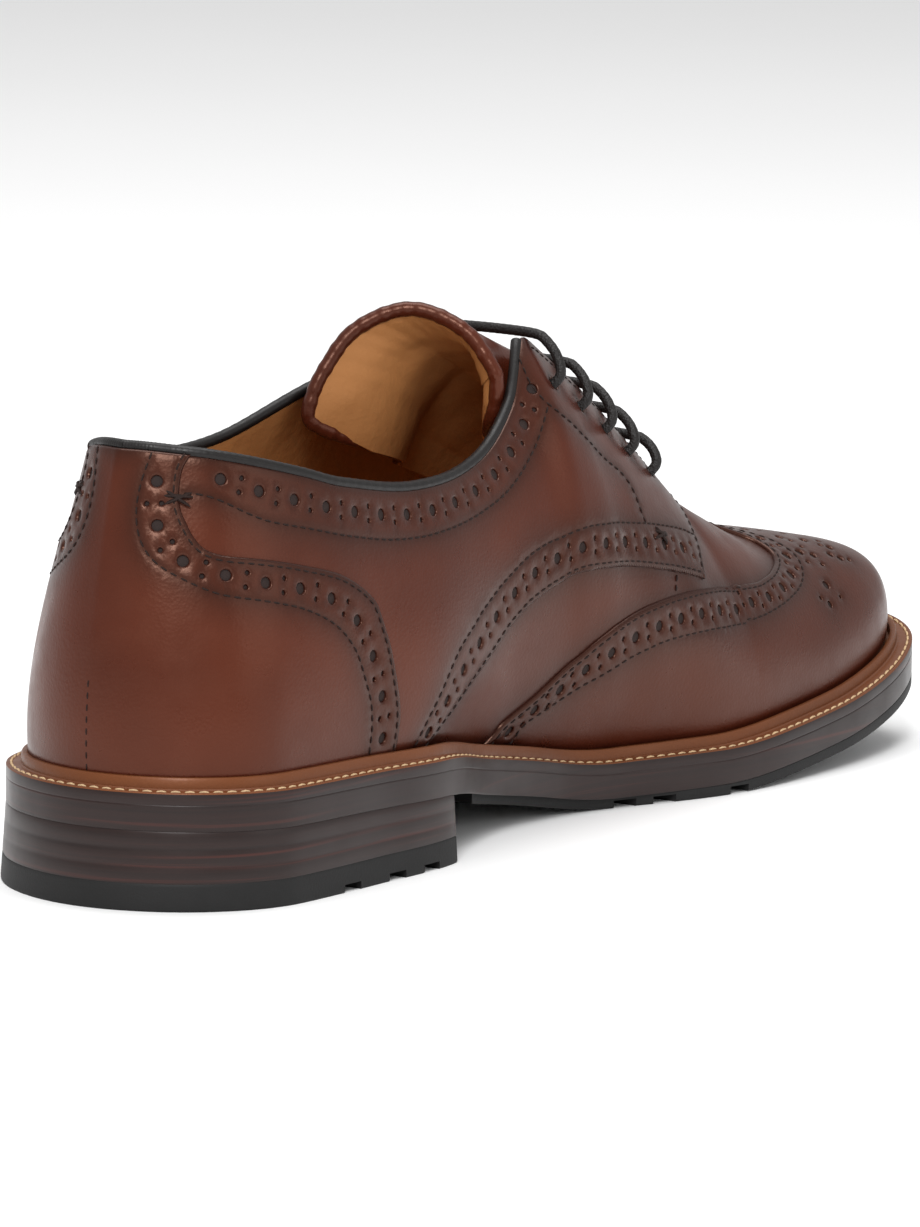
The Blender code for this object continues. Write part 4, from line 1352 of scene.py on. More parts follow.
class BrogueColours(bpy.types.PropertyGroup):
    """Colours of the leather, thread and rubber."""

    upper: bpy.props.FloatVectorProperty(
        name="Upper", description="Calf of the upper", default=(0.055, 0.0105, 0.0052),
        min=0, max=1, size=3, subtype="COLOR")
    upper_dark: bpy.props.FloatVectorProperty(
        name="Burnish", description="Darker calf at seams and edges", default=(0.016, 0.0036, 0.0024),
        min=0, max=1, size=3, subtype="COLOR")
    upper_warm: bpy.props.FloatVectorProperty(
        name="Warm calf", description="Lighter patches of the calf", default=(0.088, 0.0175, 0.0074),
        min=0, max=1, size=3, subtype="COLOR")
    lining: bpy.props.FloatVectorProperty(
        name="Lining", description="Tan lining leather", default=(0.42, 0.185, 0.062),
        min=0, max=1, size=3, subtype="COLOR")
    welt: bpy.props.FloatVectorProperty(
        name="Welt", description="Tan welt", default=(0.125, 0.038, 0.0115),
        min=0, max=1, size=3, subtype="COLOR")
    welt_thread: bpy.props.FloatVectorProperty(
        name="Welt thread", description="Cream thread of the welt", default=(0.72, 0.50, 0.28),
        min=0, max=1, size=3, subtype="COLOR")
    edge: bpy.props.FloatVectorProperty(
        name="Sole edge", description="Waxed edge of the sole and heel", default=(0.020, 0.0065, 0.0048),
        min=0, max=1, size=3, subtype="COLOR")
    rubber: bpy.props.FloatVectorProperty(
        name="Rubber", description="Rubber of the tread", default=(0.0075, 0.0073, 0.0073),
        min=0, max=1, size=3, subtype="COLOR")
    cord: bpy.props.FloatVectorProperty(
        name="Lace", description="Waxed lace and collar piping", default=(0.009, 0.007, 0.0065),
        min=0, max=1, size=3, subtype="COLOR")


def sizes():
    """The sizes that the user has set."""
    return bpy.context.scene.brogue_sizes


def colours():
    """The colours that the user has set."""
    return bpy.context.scene.brogue_colours


MATERIALS = {}


def material(name):
    """The shared material of a name, made when it is first asked for."""
    if name not in MATERIALS:
        MATERIALS[name] = MAKERS[name]()
    return MATERIALS[name]


def calf():
    c = colours()
    return leather("burnished_calf", c.upper, c.upper_dark, c.upper_warm, 0.30)


def lining_leather():
    c = colours()
    dark = [0.55 * v for v in c.lining]
    warm = [1.12 * v for v in c.lining]
    return leather("tan_lining", c.lining, dark, warm, 0.55, grain=1.6, coat=0.0, wrinkles=26.0)


# Near-black colour of the discs behind the punched holes: painted shade for the inside of the holes
def hole_shade_material():
    paint = Painter("painted_shade_in_holes")
    tone = paint.mix(paint.noise(600), (0.010, 0.004, 0.003, 1), (0.022, 0.008, 0.005, 1))
    return paint.finish(tone, 0.8)


def dark_thread():
    paint = Painter("dark_thread")
    tone = paint.mix(paint.noise(2500), (0.006, 0.003, 0.002, 1), (0.026, 0.010, 0.007, 1))
    return paint.finish(tone, 0.7, paint.bump(paint.noise(5000), 0.4, 0.0001), Specular_IOR_Level=0.25)


def welt_thread():
    c = colours()
    paint = Painter("cream_welt_thread")
    dark = [0.55 * v for v in c.welt_thread]
    tone = paint.mix(paint.noise(900), rgba(dark), rgba(c.welt_thread))
    return paint.finish(tone, 0.7, paint.bump(paint.noise(4000), 0.5, 0.0002))


def binding_leather():
    c = colours()
    paint = Painter("black_piping")
    tone = paint.mix(paint.noise(300), rgba([0.5 * v for v in c.cord]), rgba(c.cord))
    rough = paint.stretch(paint.noise(400), 0.3, 0.7, 0.34, 0.5)
    normal = paint.bump(paint.noise(1400, 4.0), 0.35, 0.00015)
    return paint.finish(tone, rough, normal, Specular_IOR_Level=0.35)


def waxed_cord():
    c = colours()
    paint = Painter("waxed_lace")
    tone = paint.mix(paint.noise(1500), rgba([0.5 * v for v in c.cord]), rgba([1.6 * v for v in c.cord]))
    return paint.finish(tone, 0.5, paint.bump(paint.cells(1800), 0.6, 0.0003), Specular_IOR_Level=0.35)


def welt_leather():
    c = colours()
    dark = [0.42 * v for v in c.welt]
    warm = [1.35 * v for v in c.welt]
    return leather("tan_welt", c.welt, dark, warm, 0.42, grain=1.2, coat=0.1)


def layered_edge():
    """Waxed edge of stacked leather: thin layers with redder streaks."""
    c = colours()
    paint = Painter("waxed_layered_edge")
    mapping = paint.node("ShaderNodeMapping", Vector=paint.place())
    mapping.inputs["Scale"].default_value = (9.0, 9.0, 620.0)
    streaks = paint.noise(1.0, 3.0, 0.6, mapping.outputs[0])
    red = [2.6 * c.edge[0], 1.7 * c.edge[1], 1.5 * c.edge[2]]
    dark = [0.55 * v for v in c.edge]
    tone = paint.mix(paint.stretch(streaks, 0.38, 0.68), rgba(dark), rgba(c.edge))
    tone = paint.mix(paint.stretch(streaks, 0.58, 0.72, 0.0, 0.8), tone, rgba(red))
    rough = paint.stretch(paint.noise(90), 0.3, 0.7, 0.30, 0.44)
    normal = paint.bump(streaks, 0.12, 0.0002)
    return paint.finish(
        tone, rough, normal, Coat_Weight=0.1, Coat_Roughness=0.3, Specular_IOR_Level=0.35)


def tread_rubber():
    c = colours()
    paint = Painter("tread_rubber")
    tone = paint.mix(paint.noise(120), rgba(c.rubber), (0.013, 0.0125, 0.0125, 1))
    return paint.finish(tone, 0.58, paint.bump(paint.noise(1800, 4.0), 0.3, 0.0002), Specular_IOR_Level=0.3)


MAKERS = {
    "calf": calf,
    "lining": lining_leather,
    # punched: the near-black discs behind the holes, painted shade
    "punched": hole_shade_material,
    "thread": dark_thread,
    "welt_thread": welt_thread,
    "piping": binding_leather,
    "cord": waxed_cord,
    "welt": welt_leather,
    "edge": layered_edge,
    "rubber": tread_rubber,
}


# The upper's shell, its panels and its threads


def shell_mesh(name, outer, inner, relief=None, turns=460, rows=46):
    """The whole form as one closed sheet between two offsets, open at top and bottom."""
    turn, height = np.meshgrid(np.arange(turns) * 2 / turns, np.linspace(0, 1, rows + 1), indexing="ij")
    flat_turn, flat_height = turn.ravel(), height.ravel()
    more = relief(flat_turn, flat_height) if relief else 0.0
    front = on_form(flat_turn, flat_height, outer + (0.0 if name == "lining" else more))
    back = on_form(flat_turn, flat_height, inner + (more if name == "lining" else 0.0))
    size = rows + 1
    count = turns * size
    faces = []
    for i in range(turns):
        k = (i + 1) % turns
        for j in range(rows):
            a, b, c, d = i * size + j, k * size + j, k * size + j + 1, i * size + j + 1
            faces += [(a, b, c, d), (a + count, d + count, c + count, b + count)]
        bottom, top = (i * size, k * size), (i * size + rows, k * size + rows)
        faces.append((bottom[1], bottom[0], bottom[0] + count, bottom[1] + count))
        if not both_on_ridge(i, k, turns):
            faces.append((top[0], top[1], top[1] + count, top[0] + count))
    return plain_mesh(name, np.vstack([front, back]), faces)


def both_on_ridge(i, k, turns):
    """Whether two columns of the form meet their other side on the ridge."""
    limit = 1 - THROAT_TURN
    return all(abs(2 * n / turns - 1) < limit + MERGE for n in (i, k))


def vamp_relief(turn, height):
    """Soft waves over the vamp behind the cap, where the foot bends."""
    share = np.where(turn > 1, 2 - turn, turn)
    bend = np.exp(-(((share - 0.60) / 0.05) ** 2))
    bend = bend * np.clip(height * 2.2, 0, 1) * np.clip((1 - height) * 4, 0, 1)
    return 0.16 * MM * bend * np.sin(share * 210 + 3.0 * height)


def lining_relief(turn, height):
    """Soft hollows and swellings of the lining."""
    share = np.where(turn > 1, 2 - turn, turn)
    waves = np.sin(share * 90 + 6 * height) * np.sin(height * 17 + share * 31)
    return -0.22 * MM * waves * np.clip((1 - height) * 6, 0, 1)


class SHOE_OT_shell(bpy.types.Operator):
    """Vamp and lining, the two layers under the panels"""

    bl_idname = "brogue.shell"
    bl_label = "Vamp and Lining"

    def execute(self, context):
        vamp = shell_mesh("vamp", -LEATHER_STEP, -1.7 * MM, vamp_relief)
        add_shell_burnish(vamp)
        add("vamp", vamp, material("calf"), replaces=["upper"])
        lining = shell_mesh("lining", -1.7 * MM, -WALL, lining_relief)
        add("lining", lining, material("lining"))
        return {"FINISHED"}


def add_shell_burnish(mesh):
    """Darken the vamp beside the edges of the panels that lie over it."""
    folds = (QUARTER_FOLD, WING_FOLD, FACING_FRONT)
    lines = [seam(rows, side) for rows in folds for side in (INNER, OUTER)]
    edges = np.vstack([on_form(line[:, 0], line[:, 1]) for line in lines])
    points = np.array([vertex.co for vertex in mesh.vertices])
    burnish_mesh(mesh, np.exp(-distances(points, edges) / BURNISH_REACH))


class SHOE_OT_panels(bpy.types.Operator):
    """Quarters, wing cap and heel counter, with their punched holes"""

    bl_idname = "brogue.panels"
    bl_label = "Panels"

    def execute(self, context):
        for side in (INNER, OUTER):
            mesh = quarter_panel(side)
            add(mesh.name, mesh, material("calf"))
        for mesh in (wing_panel(), counter_panel()):
            add(mesh.name, mesh, material("calf"))
        self.shade_holes()
        return {"FINISHED"}

    def shade_holes(self):
        """Dark discs that close the punched holes from behind, painted shade inside the holes."""
        parts = []
        for side in (INNER, OUTER):
            lines = quarter_lines(side)
            parts += discs_of_hole_shade(quarter_holes(side, lines), -0.66 * MM)
        parts += discs_of_hole_shade(wing_holes(), -0.66 * MM) + discs_of_hole_shade(counter_holes(), 0.15 * MM)
        mesh = joined("painted_hole_shade_discs", parts)
        add("painted_hole_shade_discs", mesh, material("punched"))


def discs_of_hole_shade(holes, offset):
    """Flat discs behind holes, dark with painted shade."""
    parts = []
    for turn, height, radius in holes:
        ring = hole_ring(turn, height, radius + 0.15 * MM, 12)
        turns, heights = over_ridge(ring[:, 0], ring[:, 1])
        low = on_form(turns, heights, np.full(12, offset - 0.12 * MM))
        high = on_form(turns, heights, np.full(12, offset))
        parts.append((np.vstack([low, high]), ring_faces(2, 12)))
    return parts


def edge_holes(fold_rows, seam_rows, ends, pitch, heel=False):
    """Rows of holes between a fold and its second seam, on both sides."""
    holes = []
    for side in (INNER, OUTER):
        first = slide(seam(fold_rows, side), -EDGE_SEAM * side_sign(side))
        row = between(first, seam(seam_rows, side))
        holes += brogue_row(wrap_heel(row) if heel else row, ends, pitch)
    return holes


def wing_holes():
    """Holes of the wing cap and its medallion."""
    return edge_holes(WING_FOLD, WING_SEAM, (6 * MM, 4 * MM), sizes().wing_pitch) + medallion()


def counter_holes():
    """Holes along the heel counter."""
    return edge_holes(COUNTER_FOLD, COUNTER_SEAM, (7 * MM, 6 * MM), sizes().counter_pitch, True)


class SHOE_OT_threads(bpy.types.Operator):
    """Sewn rows and bar tacks of the upper"""

    bl_idname = "brogue.threads"
    bl_label = "Threads"

    def execute(self, context):
        parts = []
        for side in (INNER, OUTER):
            up = side_sign(side)
            lines = quarter_lines(side)
            for key in QUARTER_ROWS:
                parts += stitch_row(lines[key], THREAD_DEPTH)
            wing, counter = seam(WING_FOLD, side), seam(COUNTER_FOLD, side)
            parts += stitch_row(slide(wing, -EDGE_SEAM * up), THREAD_DEPTH)
            parts += stitch_row(seam(WING_SEAM, side), THREAD_DEPTH)
            parts += stitch_row(slide(counter, -EDGE_SEAM * up), COUNTER_TOP + THREAD_DEPTH)
            parts += stitch_row(seam(COUNTER_SEAM, side), COUNTER_TOP + THREAD_DEPTH)
            parts += stitch_row(seam(VAMP_SEAM, side), -0.88 * MM)
            parts += bar_tack(0.114, 0.868, side, 1.0 * MM)
            parts += bar_tack(0.578, 0.583, side, 0.1 * MM)
        parts += stitch_row(upright(0.0, 0.03, 0.33, INNER), COUNTER_TOP + THREAD_DEPTH)
        add("upper_threads", joined("upper_threads", parts), material("thread"))
        return {"FINISHED"}


class SHOE_OT_piping(bpy.types.Operator):
    """Black piping rolled over the collar"""

    bl_idname = "brogue.piping"
    bl_label = "Collar Piping"

    def execute(self, context):
        turns = np.linspace(-COLLAR_END, COLLAR_END, 420)
        curve = sampled(CONTROLS, turns)
        up = curve[:, 3] - curve[:, 2]
        up /= np.linalg.norm(up, axis=1)[:, None]
        path = on_form(turns, np.ones(len(turns)), np.full(len(turns), -WALL / 2))
        path = path + up * 0.75 * MM
        radius = BINDING_RADIUS * (1.22 + 0.03 * np.sin(np.arange(len(turns)) * 1.9))
        points, faces = tube(path, radius, 14)
        mesh = joined("collar_piping", [(points, faces)])
        add("collar_piping", mesh, material("piping"), replaces=["collar_binding"])
        return {"FINISHED"}


# Tongue and lace

TONGUE_FREE = 34
TONGUE_CALF = 1.1 * MM
TONGUE_PAD = 3.3 * MM
LACE_SAMPLES = 110

# Arc of the lace from a hole to the facing's edge: share of the way and lift in mm

LACE_ARC = ((0.0, -3.4), (0.0, 0.2), (0.10, 2.6), (0.42, 3.6), (0.78, 3.2), (1.0, 2.0))


def tongue_section(share, spread):
    """Line across the instep inside the upper, at arrays of spread from -1 to 1."""
    depth = np.full(len(spread), -WALL - TONGUE_CLEARANCE)
    reach = np.abs(spread)
    height = 1.0 - np.clip(reach - TONGUE_BRIDGE, 0, 1) / (1 - TONGUE_BRIDGE) * TONGUE_DEPTH
    walls = on_form(np.where(spread < 0, share, 2.0 - share), height, depth)
    inner, outer = on_form(np.array([share, 2.0 - share]), np.ones(2), depth[:2])
    across = spread / TONGUE_BRIDGE
    arch = TONGUE_ARCH * THROAT_WIDTH * (1 - across**2)
    bridge = inner + (outer - inner) * ((across + 1) / 2)[:, None]
    bridge[:, 2] += arch
    return np.where((reach > TONGUE_BRIDGE)[:, None], walls, bridge)


def tongue_lines(spreads, free_rows, rows):
    """Lines across the tongue, from its free edge to its foot under the facings."""
    shares = [TONGUE_TOP + (TONGUE_FOOT - TONGUE_TOP) * i / rows for i in range(rows + 1)]
    lines = [tongue_section(share, spreads) for share in shares]
    edge = np.array([[smooth(TONGUE_EDGE, s, k) for k in (1, 2, 3)] for s in spreads])
    edge = edge * (LENGTH, COLLAR_WIDTH, BACK_HEIGHT) + (0, 0, welt_top(0.0)) + ORIGIN
    free = []
    for i in range(free_rows):
        share = i / free_rows
        line = edge + (lines[0] - edge) * share
        pinch = 1 - 4 * TONGUE_PINCH * np.abs(spreads) * share * (1 - share)
        line[:, 1] = ORIGIN[1] + (line[:, 1] - ORIGIN[1]) * pinch
        free.append(line)
    return np.array(free + lines)


class SHOE_OT_tongue(bpy.types.Operator):
    """Tongue of calf with a padded tan lining and a gathered, rolled edge"""

    bl_idname = "brogue.tongue"
    bl_label = "Tongue"

    def execute(self, context):
        outer = tongue_lines(np.linspace(-1, 1, 61), TONGUE_FREE, 50)
        for _ in range(6):
            outer[1:-1] = (outer[:-2] + 2 * outer[1:-1] + outer[2:]) / 4
        outer = widened(outer[1:])
        normal = self.normals(outer)
        middle = outer - normal * TONGUE_CALF
        inner = outer - normal * self.depth(*outer.shape[:2])[..., None]
        front = sheet_between("tongue_front", outer, middle)
        add("tongue_front", front, material("calf"), replaces=["tongue"])
        padding = sheet_between("tongue_padding", middle, inner)
        add("tongue_padding", padding, material("lining"))
        self.rolled_edge((outer + inner) / 2)
        return {"FINISHED"}

    def normals(self, sheet):
        """Directions out of a sheet, on the side that faces up in its middle."""
        normal = np.cross(np.gradient(sheet, axis=0), np.gradient(sheet, axis=1))
        normal /= np.linalg.norm(normal, axis=2)[..., None] + 1e-12
        return normal * np.sign(normal[:, sheet.shape[1] // 2, 2])[:, None, None]

    def depth(self, rows, columns):
        """Thickness of the padded tongue, gathered at its edge and creased."""
        row = np.arange(rows)[:, None] / (TONGUE_FREE - 1)
        spreads = np.linspace(-1, 1, columns)
        side = np.abs(spreads)[None, :]
        pad = np.clip(1 - np.maximum(side, 1 - row) ** 6, 0, 1)
        gathers = 0.2 * MM * np.sin(spreads * 46)[None, :] * np.exp(-row * 3.5)
        gathers = gathers + 0.25 * MM * np.sin(row * 58) * np.clip(side - 0.6, 0, 1)
        creases = 0.18 * MM * np.sin(row * 21 + side * 6) * np.exp(-((side - 0.4) ** 2) * 6)
        return TONGUE_CALF + (TONGUE_PAD + gathers + creases) * (0.2 + 0.8 * pad)

    def rolled_edge(self, middle):
        """The calf rolled over the free edge and a little way down both sides."""
        path = np.vstack([middle[9:0:-1, 0], middle[0], middle[1:10, -1]])
        for _ in range(4):
            path[1:-1] = (path[:-2] + 2 * path[1:-1] + path[2:]) / 4
        at = np.linspace(0, run_of(path)[-1], 360)
        path = evenly(path, 360)
        radius = 1.75 * MM + 0.05 * MM * np.sin(at / MM * 1.35) + 0.04 * MM * np.sin(at / MM * 2.3 + 1)
        radius[:30] *= np.linspace(0.4, 1, 30)
        radius[-30:] *= np.linspace(1, 0.4, 30)
        mesh = joined("tongue_rolled_edge", [tube(path, radius, 16)])
        add("tongue_rolled_edge", mesh, material("calf"))


def widened(sheet, count=7):
    """The tongue carried on past both its sides, hanging down inside the shoe."""
    rows = len(sheet)
    reach = np.interp(np.arange(rows), (0, 12, 34, rows - 1), (10 * MM, 13 * MM, 12 * MM, 3 * MM))
    strips = []
    for edge, before, inward in ((sheet[:, 0], sheet[:, 5], 1.0), (sheet[:, -1], sheet[:, -6], 0.0)):
        way = edge - before
        way /= np.linalg.norm(way, axis=1)[:, None]
        point, strip = edge, []
        for k in range(1, count + 1):
            step = way * (1 - 0.5 * k / count) + np.array([0, 0.55 * inward, -0.5 - 0.2 * k / count])
            step /= np.linalg.norm(step, axis=1)[:, None]
            point = point + step * (reach / count)[:, None]
            strip.append(point)
        strips.append(np.stack(strip, 1))
    return np.concatenate([strips[0][:, ::-1], sheet, strips[1]], 1)


def sheet_between(name, front, back):
    """A closed sheet between two grids of points."""
    rows, columns = front.shape[:2]
    count = rows * columns
    faces = []
    for i in range(rows - 1):
        for j in range(columns - 1):
            a, b = i * columns + j, (i + 1) * columns + j
            c, d = b + 1, a + 1
            faces += [(a, b, c, d), (a + count, d + count, c + count, b + count)]
    number = np.arange(count).reshape(rows, columns)
    rim = [*number[0], *number[1:, -1], *number[-1, -2::-1], *number[-2:0:-1, 0]]
    for a, b in zip(rim, rim[1:] + rim[:1]):
        faces.append((a, b, b + count, a + count))
    return plain_mesh(name, np.vstack([front.reshape(-1, 3), back.reshape(-1, 3)]), faces)


def lace_path(place):
    """Out of one hole, in an arc over both facings, and down into the other hole."""
    turn, height = place
    share, lift = np.array(LACE_ARC).T
    path = []
    for one, order in ((turn, 1), (2 - turn, -1)):
        part = on_form(np.full(len(share), one), height + (1 - height) * share, lift * MM)
        path.append(list(part[::order]))
    inner, outer = path[0][-1], path[1][0]
    rise = np.array([0, 0, (LACE_RADIUS + GAP) * 0.3])
    gap = [inner + (outer - inner) * s + rise * math.sin(math.pi * s) for s in (0.3, 0.7)]
    return evenly(curve_through(np.array(path[0] + gap + path[1], float), 20), LACE_SAMPLES)


def evenly(line, count):
    """A line of points respaced evenly."""
    run = run_of(line)
    return read_at(line, run, np.linspace(0, run[-1], count))


class SHOE_OT_lace(bpy.types.Operator):
    """Round waxed lace, in straight bars through the facing's holes"""

    bl_idname = "brogue.lace"
    bl_label = "Lace"

    def execute(self, context):
        for number, place in enumerate(LACE_HOLES, 1):
            path = lace_path(place)
            name = f"lace_cord_{number}"
            twist = sizes().lace_radius * (1 + 0.0222 * np.sin(np.arange(len(path)) * 2.1))
            mesh = joined(name, [tube(path, twist, 16)])
            add(name, mesh, material("cord"), replaces=[f"lace_bar_{number}"])
        return {"FINISHED"}


# The sole, from the floor up


def sole_shares(count=150):
    """Shares from the heel to the toe, closer together at both ends."""
    return [(1 - math.cos(math.pi * i / count)) / 2 for i in range(count + 1)]


def layer_mesh(name, shares, levels, square=None):
    """A layer of the sole, ring by ring from the heel to the toe.

    Levels run from the bottom up. Each is a function of turn that gives an inset,
    and a function of the place along the shoe that gives a height.
    """
    rings = []
    for share in shares:
        ring = []
        for turn, rows in ((share, levels), (2 - share, levels[::-1])):
            for inset, height in rows:
                plan, _ = sole_edge(turn, inset(turn))
                along = plan[0]
                if square is not None and abs(square[0] - share) < MERGE:
                    along = square[1]
                ring.append((along, plan[1], height(along)))
        rings.append(ring)
    points = np.array([point for ring in rings for point in ring]) + ORIGIN
    return plain_mesh(name, points, ring_faces(len(rings), len(rings[0])))


def at(value):
    """A level that is the same everywhere."""
    return lambda _: value


def side_levels(low, high, profile, base_inset=None):
    """Levels between two heights: profile rows give a share of the height and an inset."""
    levels = []
    for share, inset in profile:
        def inset_at(turn, inset=inset):
            return inset + (base_inset(turn) if base_inset else 0.0)

        def height_at(along, share=share):
            return low(along) + (high(along) - low(along)) * share

        levels.append((inset_at, height_at))
    return levels


def heel_levels(low, high, profile):
    """Levels of the heel, whose side flares out towards the floor."""
    levels = []
    for share, inset in profile:
        height = low(HEEL_LENGTH / 2) * (1 - share) + high(HEEL_LENGTH / 2) * share
        more = HEEL_FLARE * (min(height / HEEL_HEIGHT, 1.0) - 1)
        levels += side_levels(low, high, ((share, inset + more),))
    return levels


# Rounded sides of a layer: share of its height, and inset

ROUNDED = (
    (0.0, 0.14 * MM), (0.03, 0.03 * MM), (0.08, 0.0), (0.5, 0.0), (0.92, 0.0), (0.97, 0.03 * MM),
    (1.0, 0.14 * MM),
)
SLIGHT = (
    (0.0, 0.3 * MM), (0.05, 0.06 * MM), (0.12, 0.0), (0.88, 0.0), (0.96, 0.04 * MM), (1.0, 0.16 * MM),
)


def heel_stack_profile(layers=3):
    """Side of the heel stack: each lift is slightly proud of the joint between lifts."""
    rows = [(0.0, 0.16 * MM)]
    for i in range(layers):
        low, high = i / layers, (i + 1) / layers
        rows += [(low + 0.03, 0.02 * MM), ((low + high) / 2, 0.0), (high - 0.03, 0.02 * MM)]
        rows.append((high, 0.09 * MM if i < layers - 1 else 0.14 * MM))
    return rows


def tread_inset(turn):
    """How far the tread is set back from the sole edge."""
    share = side_and_share(turn)[1]
    return WAIST_INSET * (1 - ease((share - WAIST_FROM) / (WAIST_TO - WAIST_FROM)))


def tread_bottom(along):
    """Height of the tread's underside."""
    return midsole_bottom(along) - TREAD_THICKNESS


def insole_top(along):
    """Height of the sock lining."""
    return midsole_top(along) + GAP + WELT_THICKNESS + INSOLE_THICKNESS


class SHOE_OT_sole(bpy.types.Operator):
    """Top lift, heel stack, outsole, midsole and insole"""

    bl_idname = "brogue.sole"
    bl_label = "Sole"

    def execute(self, context):
        self.heel()
        self.tread()
        levels = side_levels(midsole_bottom, welt_bottom, ROUNDED)
        mesh = layer_mesh("middle_sole", sole_shares(), levels)
        add("middle_sole", mesh, material("edge"), 35, ["midsole"])
        levels = side_levels(welt_bottom, insole_top, SLIGHT, lambda turn: welt_margin(turn) + WALL)
        mesh = layer_mesh("sock_lining", sole_shares(), levels)
        add("sock_lining", mesh, material("lining"), 35, ["insole"])
        return {"FINISHED"}

    def heel(self):
        """The top lift, and the stack of leather lifts over it."""
        end = turn_at(HEEL_LENGTH)
        shares, square = list(np.linspace(0, end, 91)), (end, HEEL_LENGTH)
        lift_top = at(TOP_LIFT_THICKNESS + 0.1 * MM)
        mesh = layer_mesh("heel_lift", shares, heel_levels(at(0.0), lift_top, SLIGHT), square)
        self.notched(mesh, LIFT_NOTCHES, at(0.0))
        add("heel_lift", mesh, material("rubber"), 35, ["heel_top_lift"])
        levels = heel_levels(lift_top, midsole_bottom, heel_stack_profile())
        mesh = layer_mesh("stacked_heel", shares, levels, square)
        add("stacked_heel", mesh, material("edge"), 35, ["heel_stack"])

    def tread(self):
        """The rubber under the forepart, set back under the waist."""
        start = turn_at(TREAD_FROM * LENGTH)
        square = (start, TREAD_FROM * LENGTH)
        levels = side_levels(tread_bottom, midsole_bottom, SLIGHT, tread_inset)
        mesh = layer_mesh("rubber_outsole", list(np.linspace(start, 1.0, 130)), levels, square)
        self.notched(mesh, SOLE_NOTCHES, tread_bottom)
        add("rubber_outsole", mesh, material("rubber"), 35, ["outsole"])

    def notched(self, mesh, places, floor):
        """Cut the tread's notches out of both edges of a layer."""
        cutter = bmesh.new()
        for along in places:
            share = turn_at(along * LENGTH)
            for turn in (share, 2 - share):
                plan, _ = sole_edge(turn)
                box = bmesh.ops.create_cube(cutter, size=1.0)["verts"]
                size = (NOTCH_WIDTH, 2 * NOTCH_REACH, 2 * NOTCH_DEPTH)
                place = (plan[0] + ORIGIN[0], plan[1] + ORIGIN[1], floor(plan[0]))
                bmesh.ops.scale(cutter, vec=size, verts=box)
                bmesh.ops.translate(cutter, vec=place, verts=box)
        tool_mesh = bpy.data.meshes.new("notch_cutter")
        cutter.to_mesh(tool_mesh)
        cutter.free()
        body = bpy.data.objects.new("notching", mesh)
        tool = bpy.data.objects.new("notch_cutter", tool_mesh)
        for item in (body, tool):
            bpy.context.scene.collection.objects.link(item)
        cut = body.modifiers.new("cut", "BOOLEAN")
        cut.operation, cut.solver, cut.object = "DIFFERENCE", "EXACT", tool
        graph = bpy.context.evaluated_depsgraph_get()
        result = bpy.data.meshes.new_from_object(body.evaluated_get(graph))
        shape = bmesh.new()
        shape.from_mesh(result)
        shape.to_mesh(mesh)
        shape.free()
        for item in (body, tool):
            bpy.data.objects.remove(item, do_unlink=True)


WELT_SAMPLES = 560
SEAM_SAMPLES = 2400


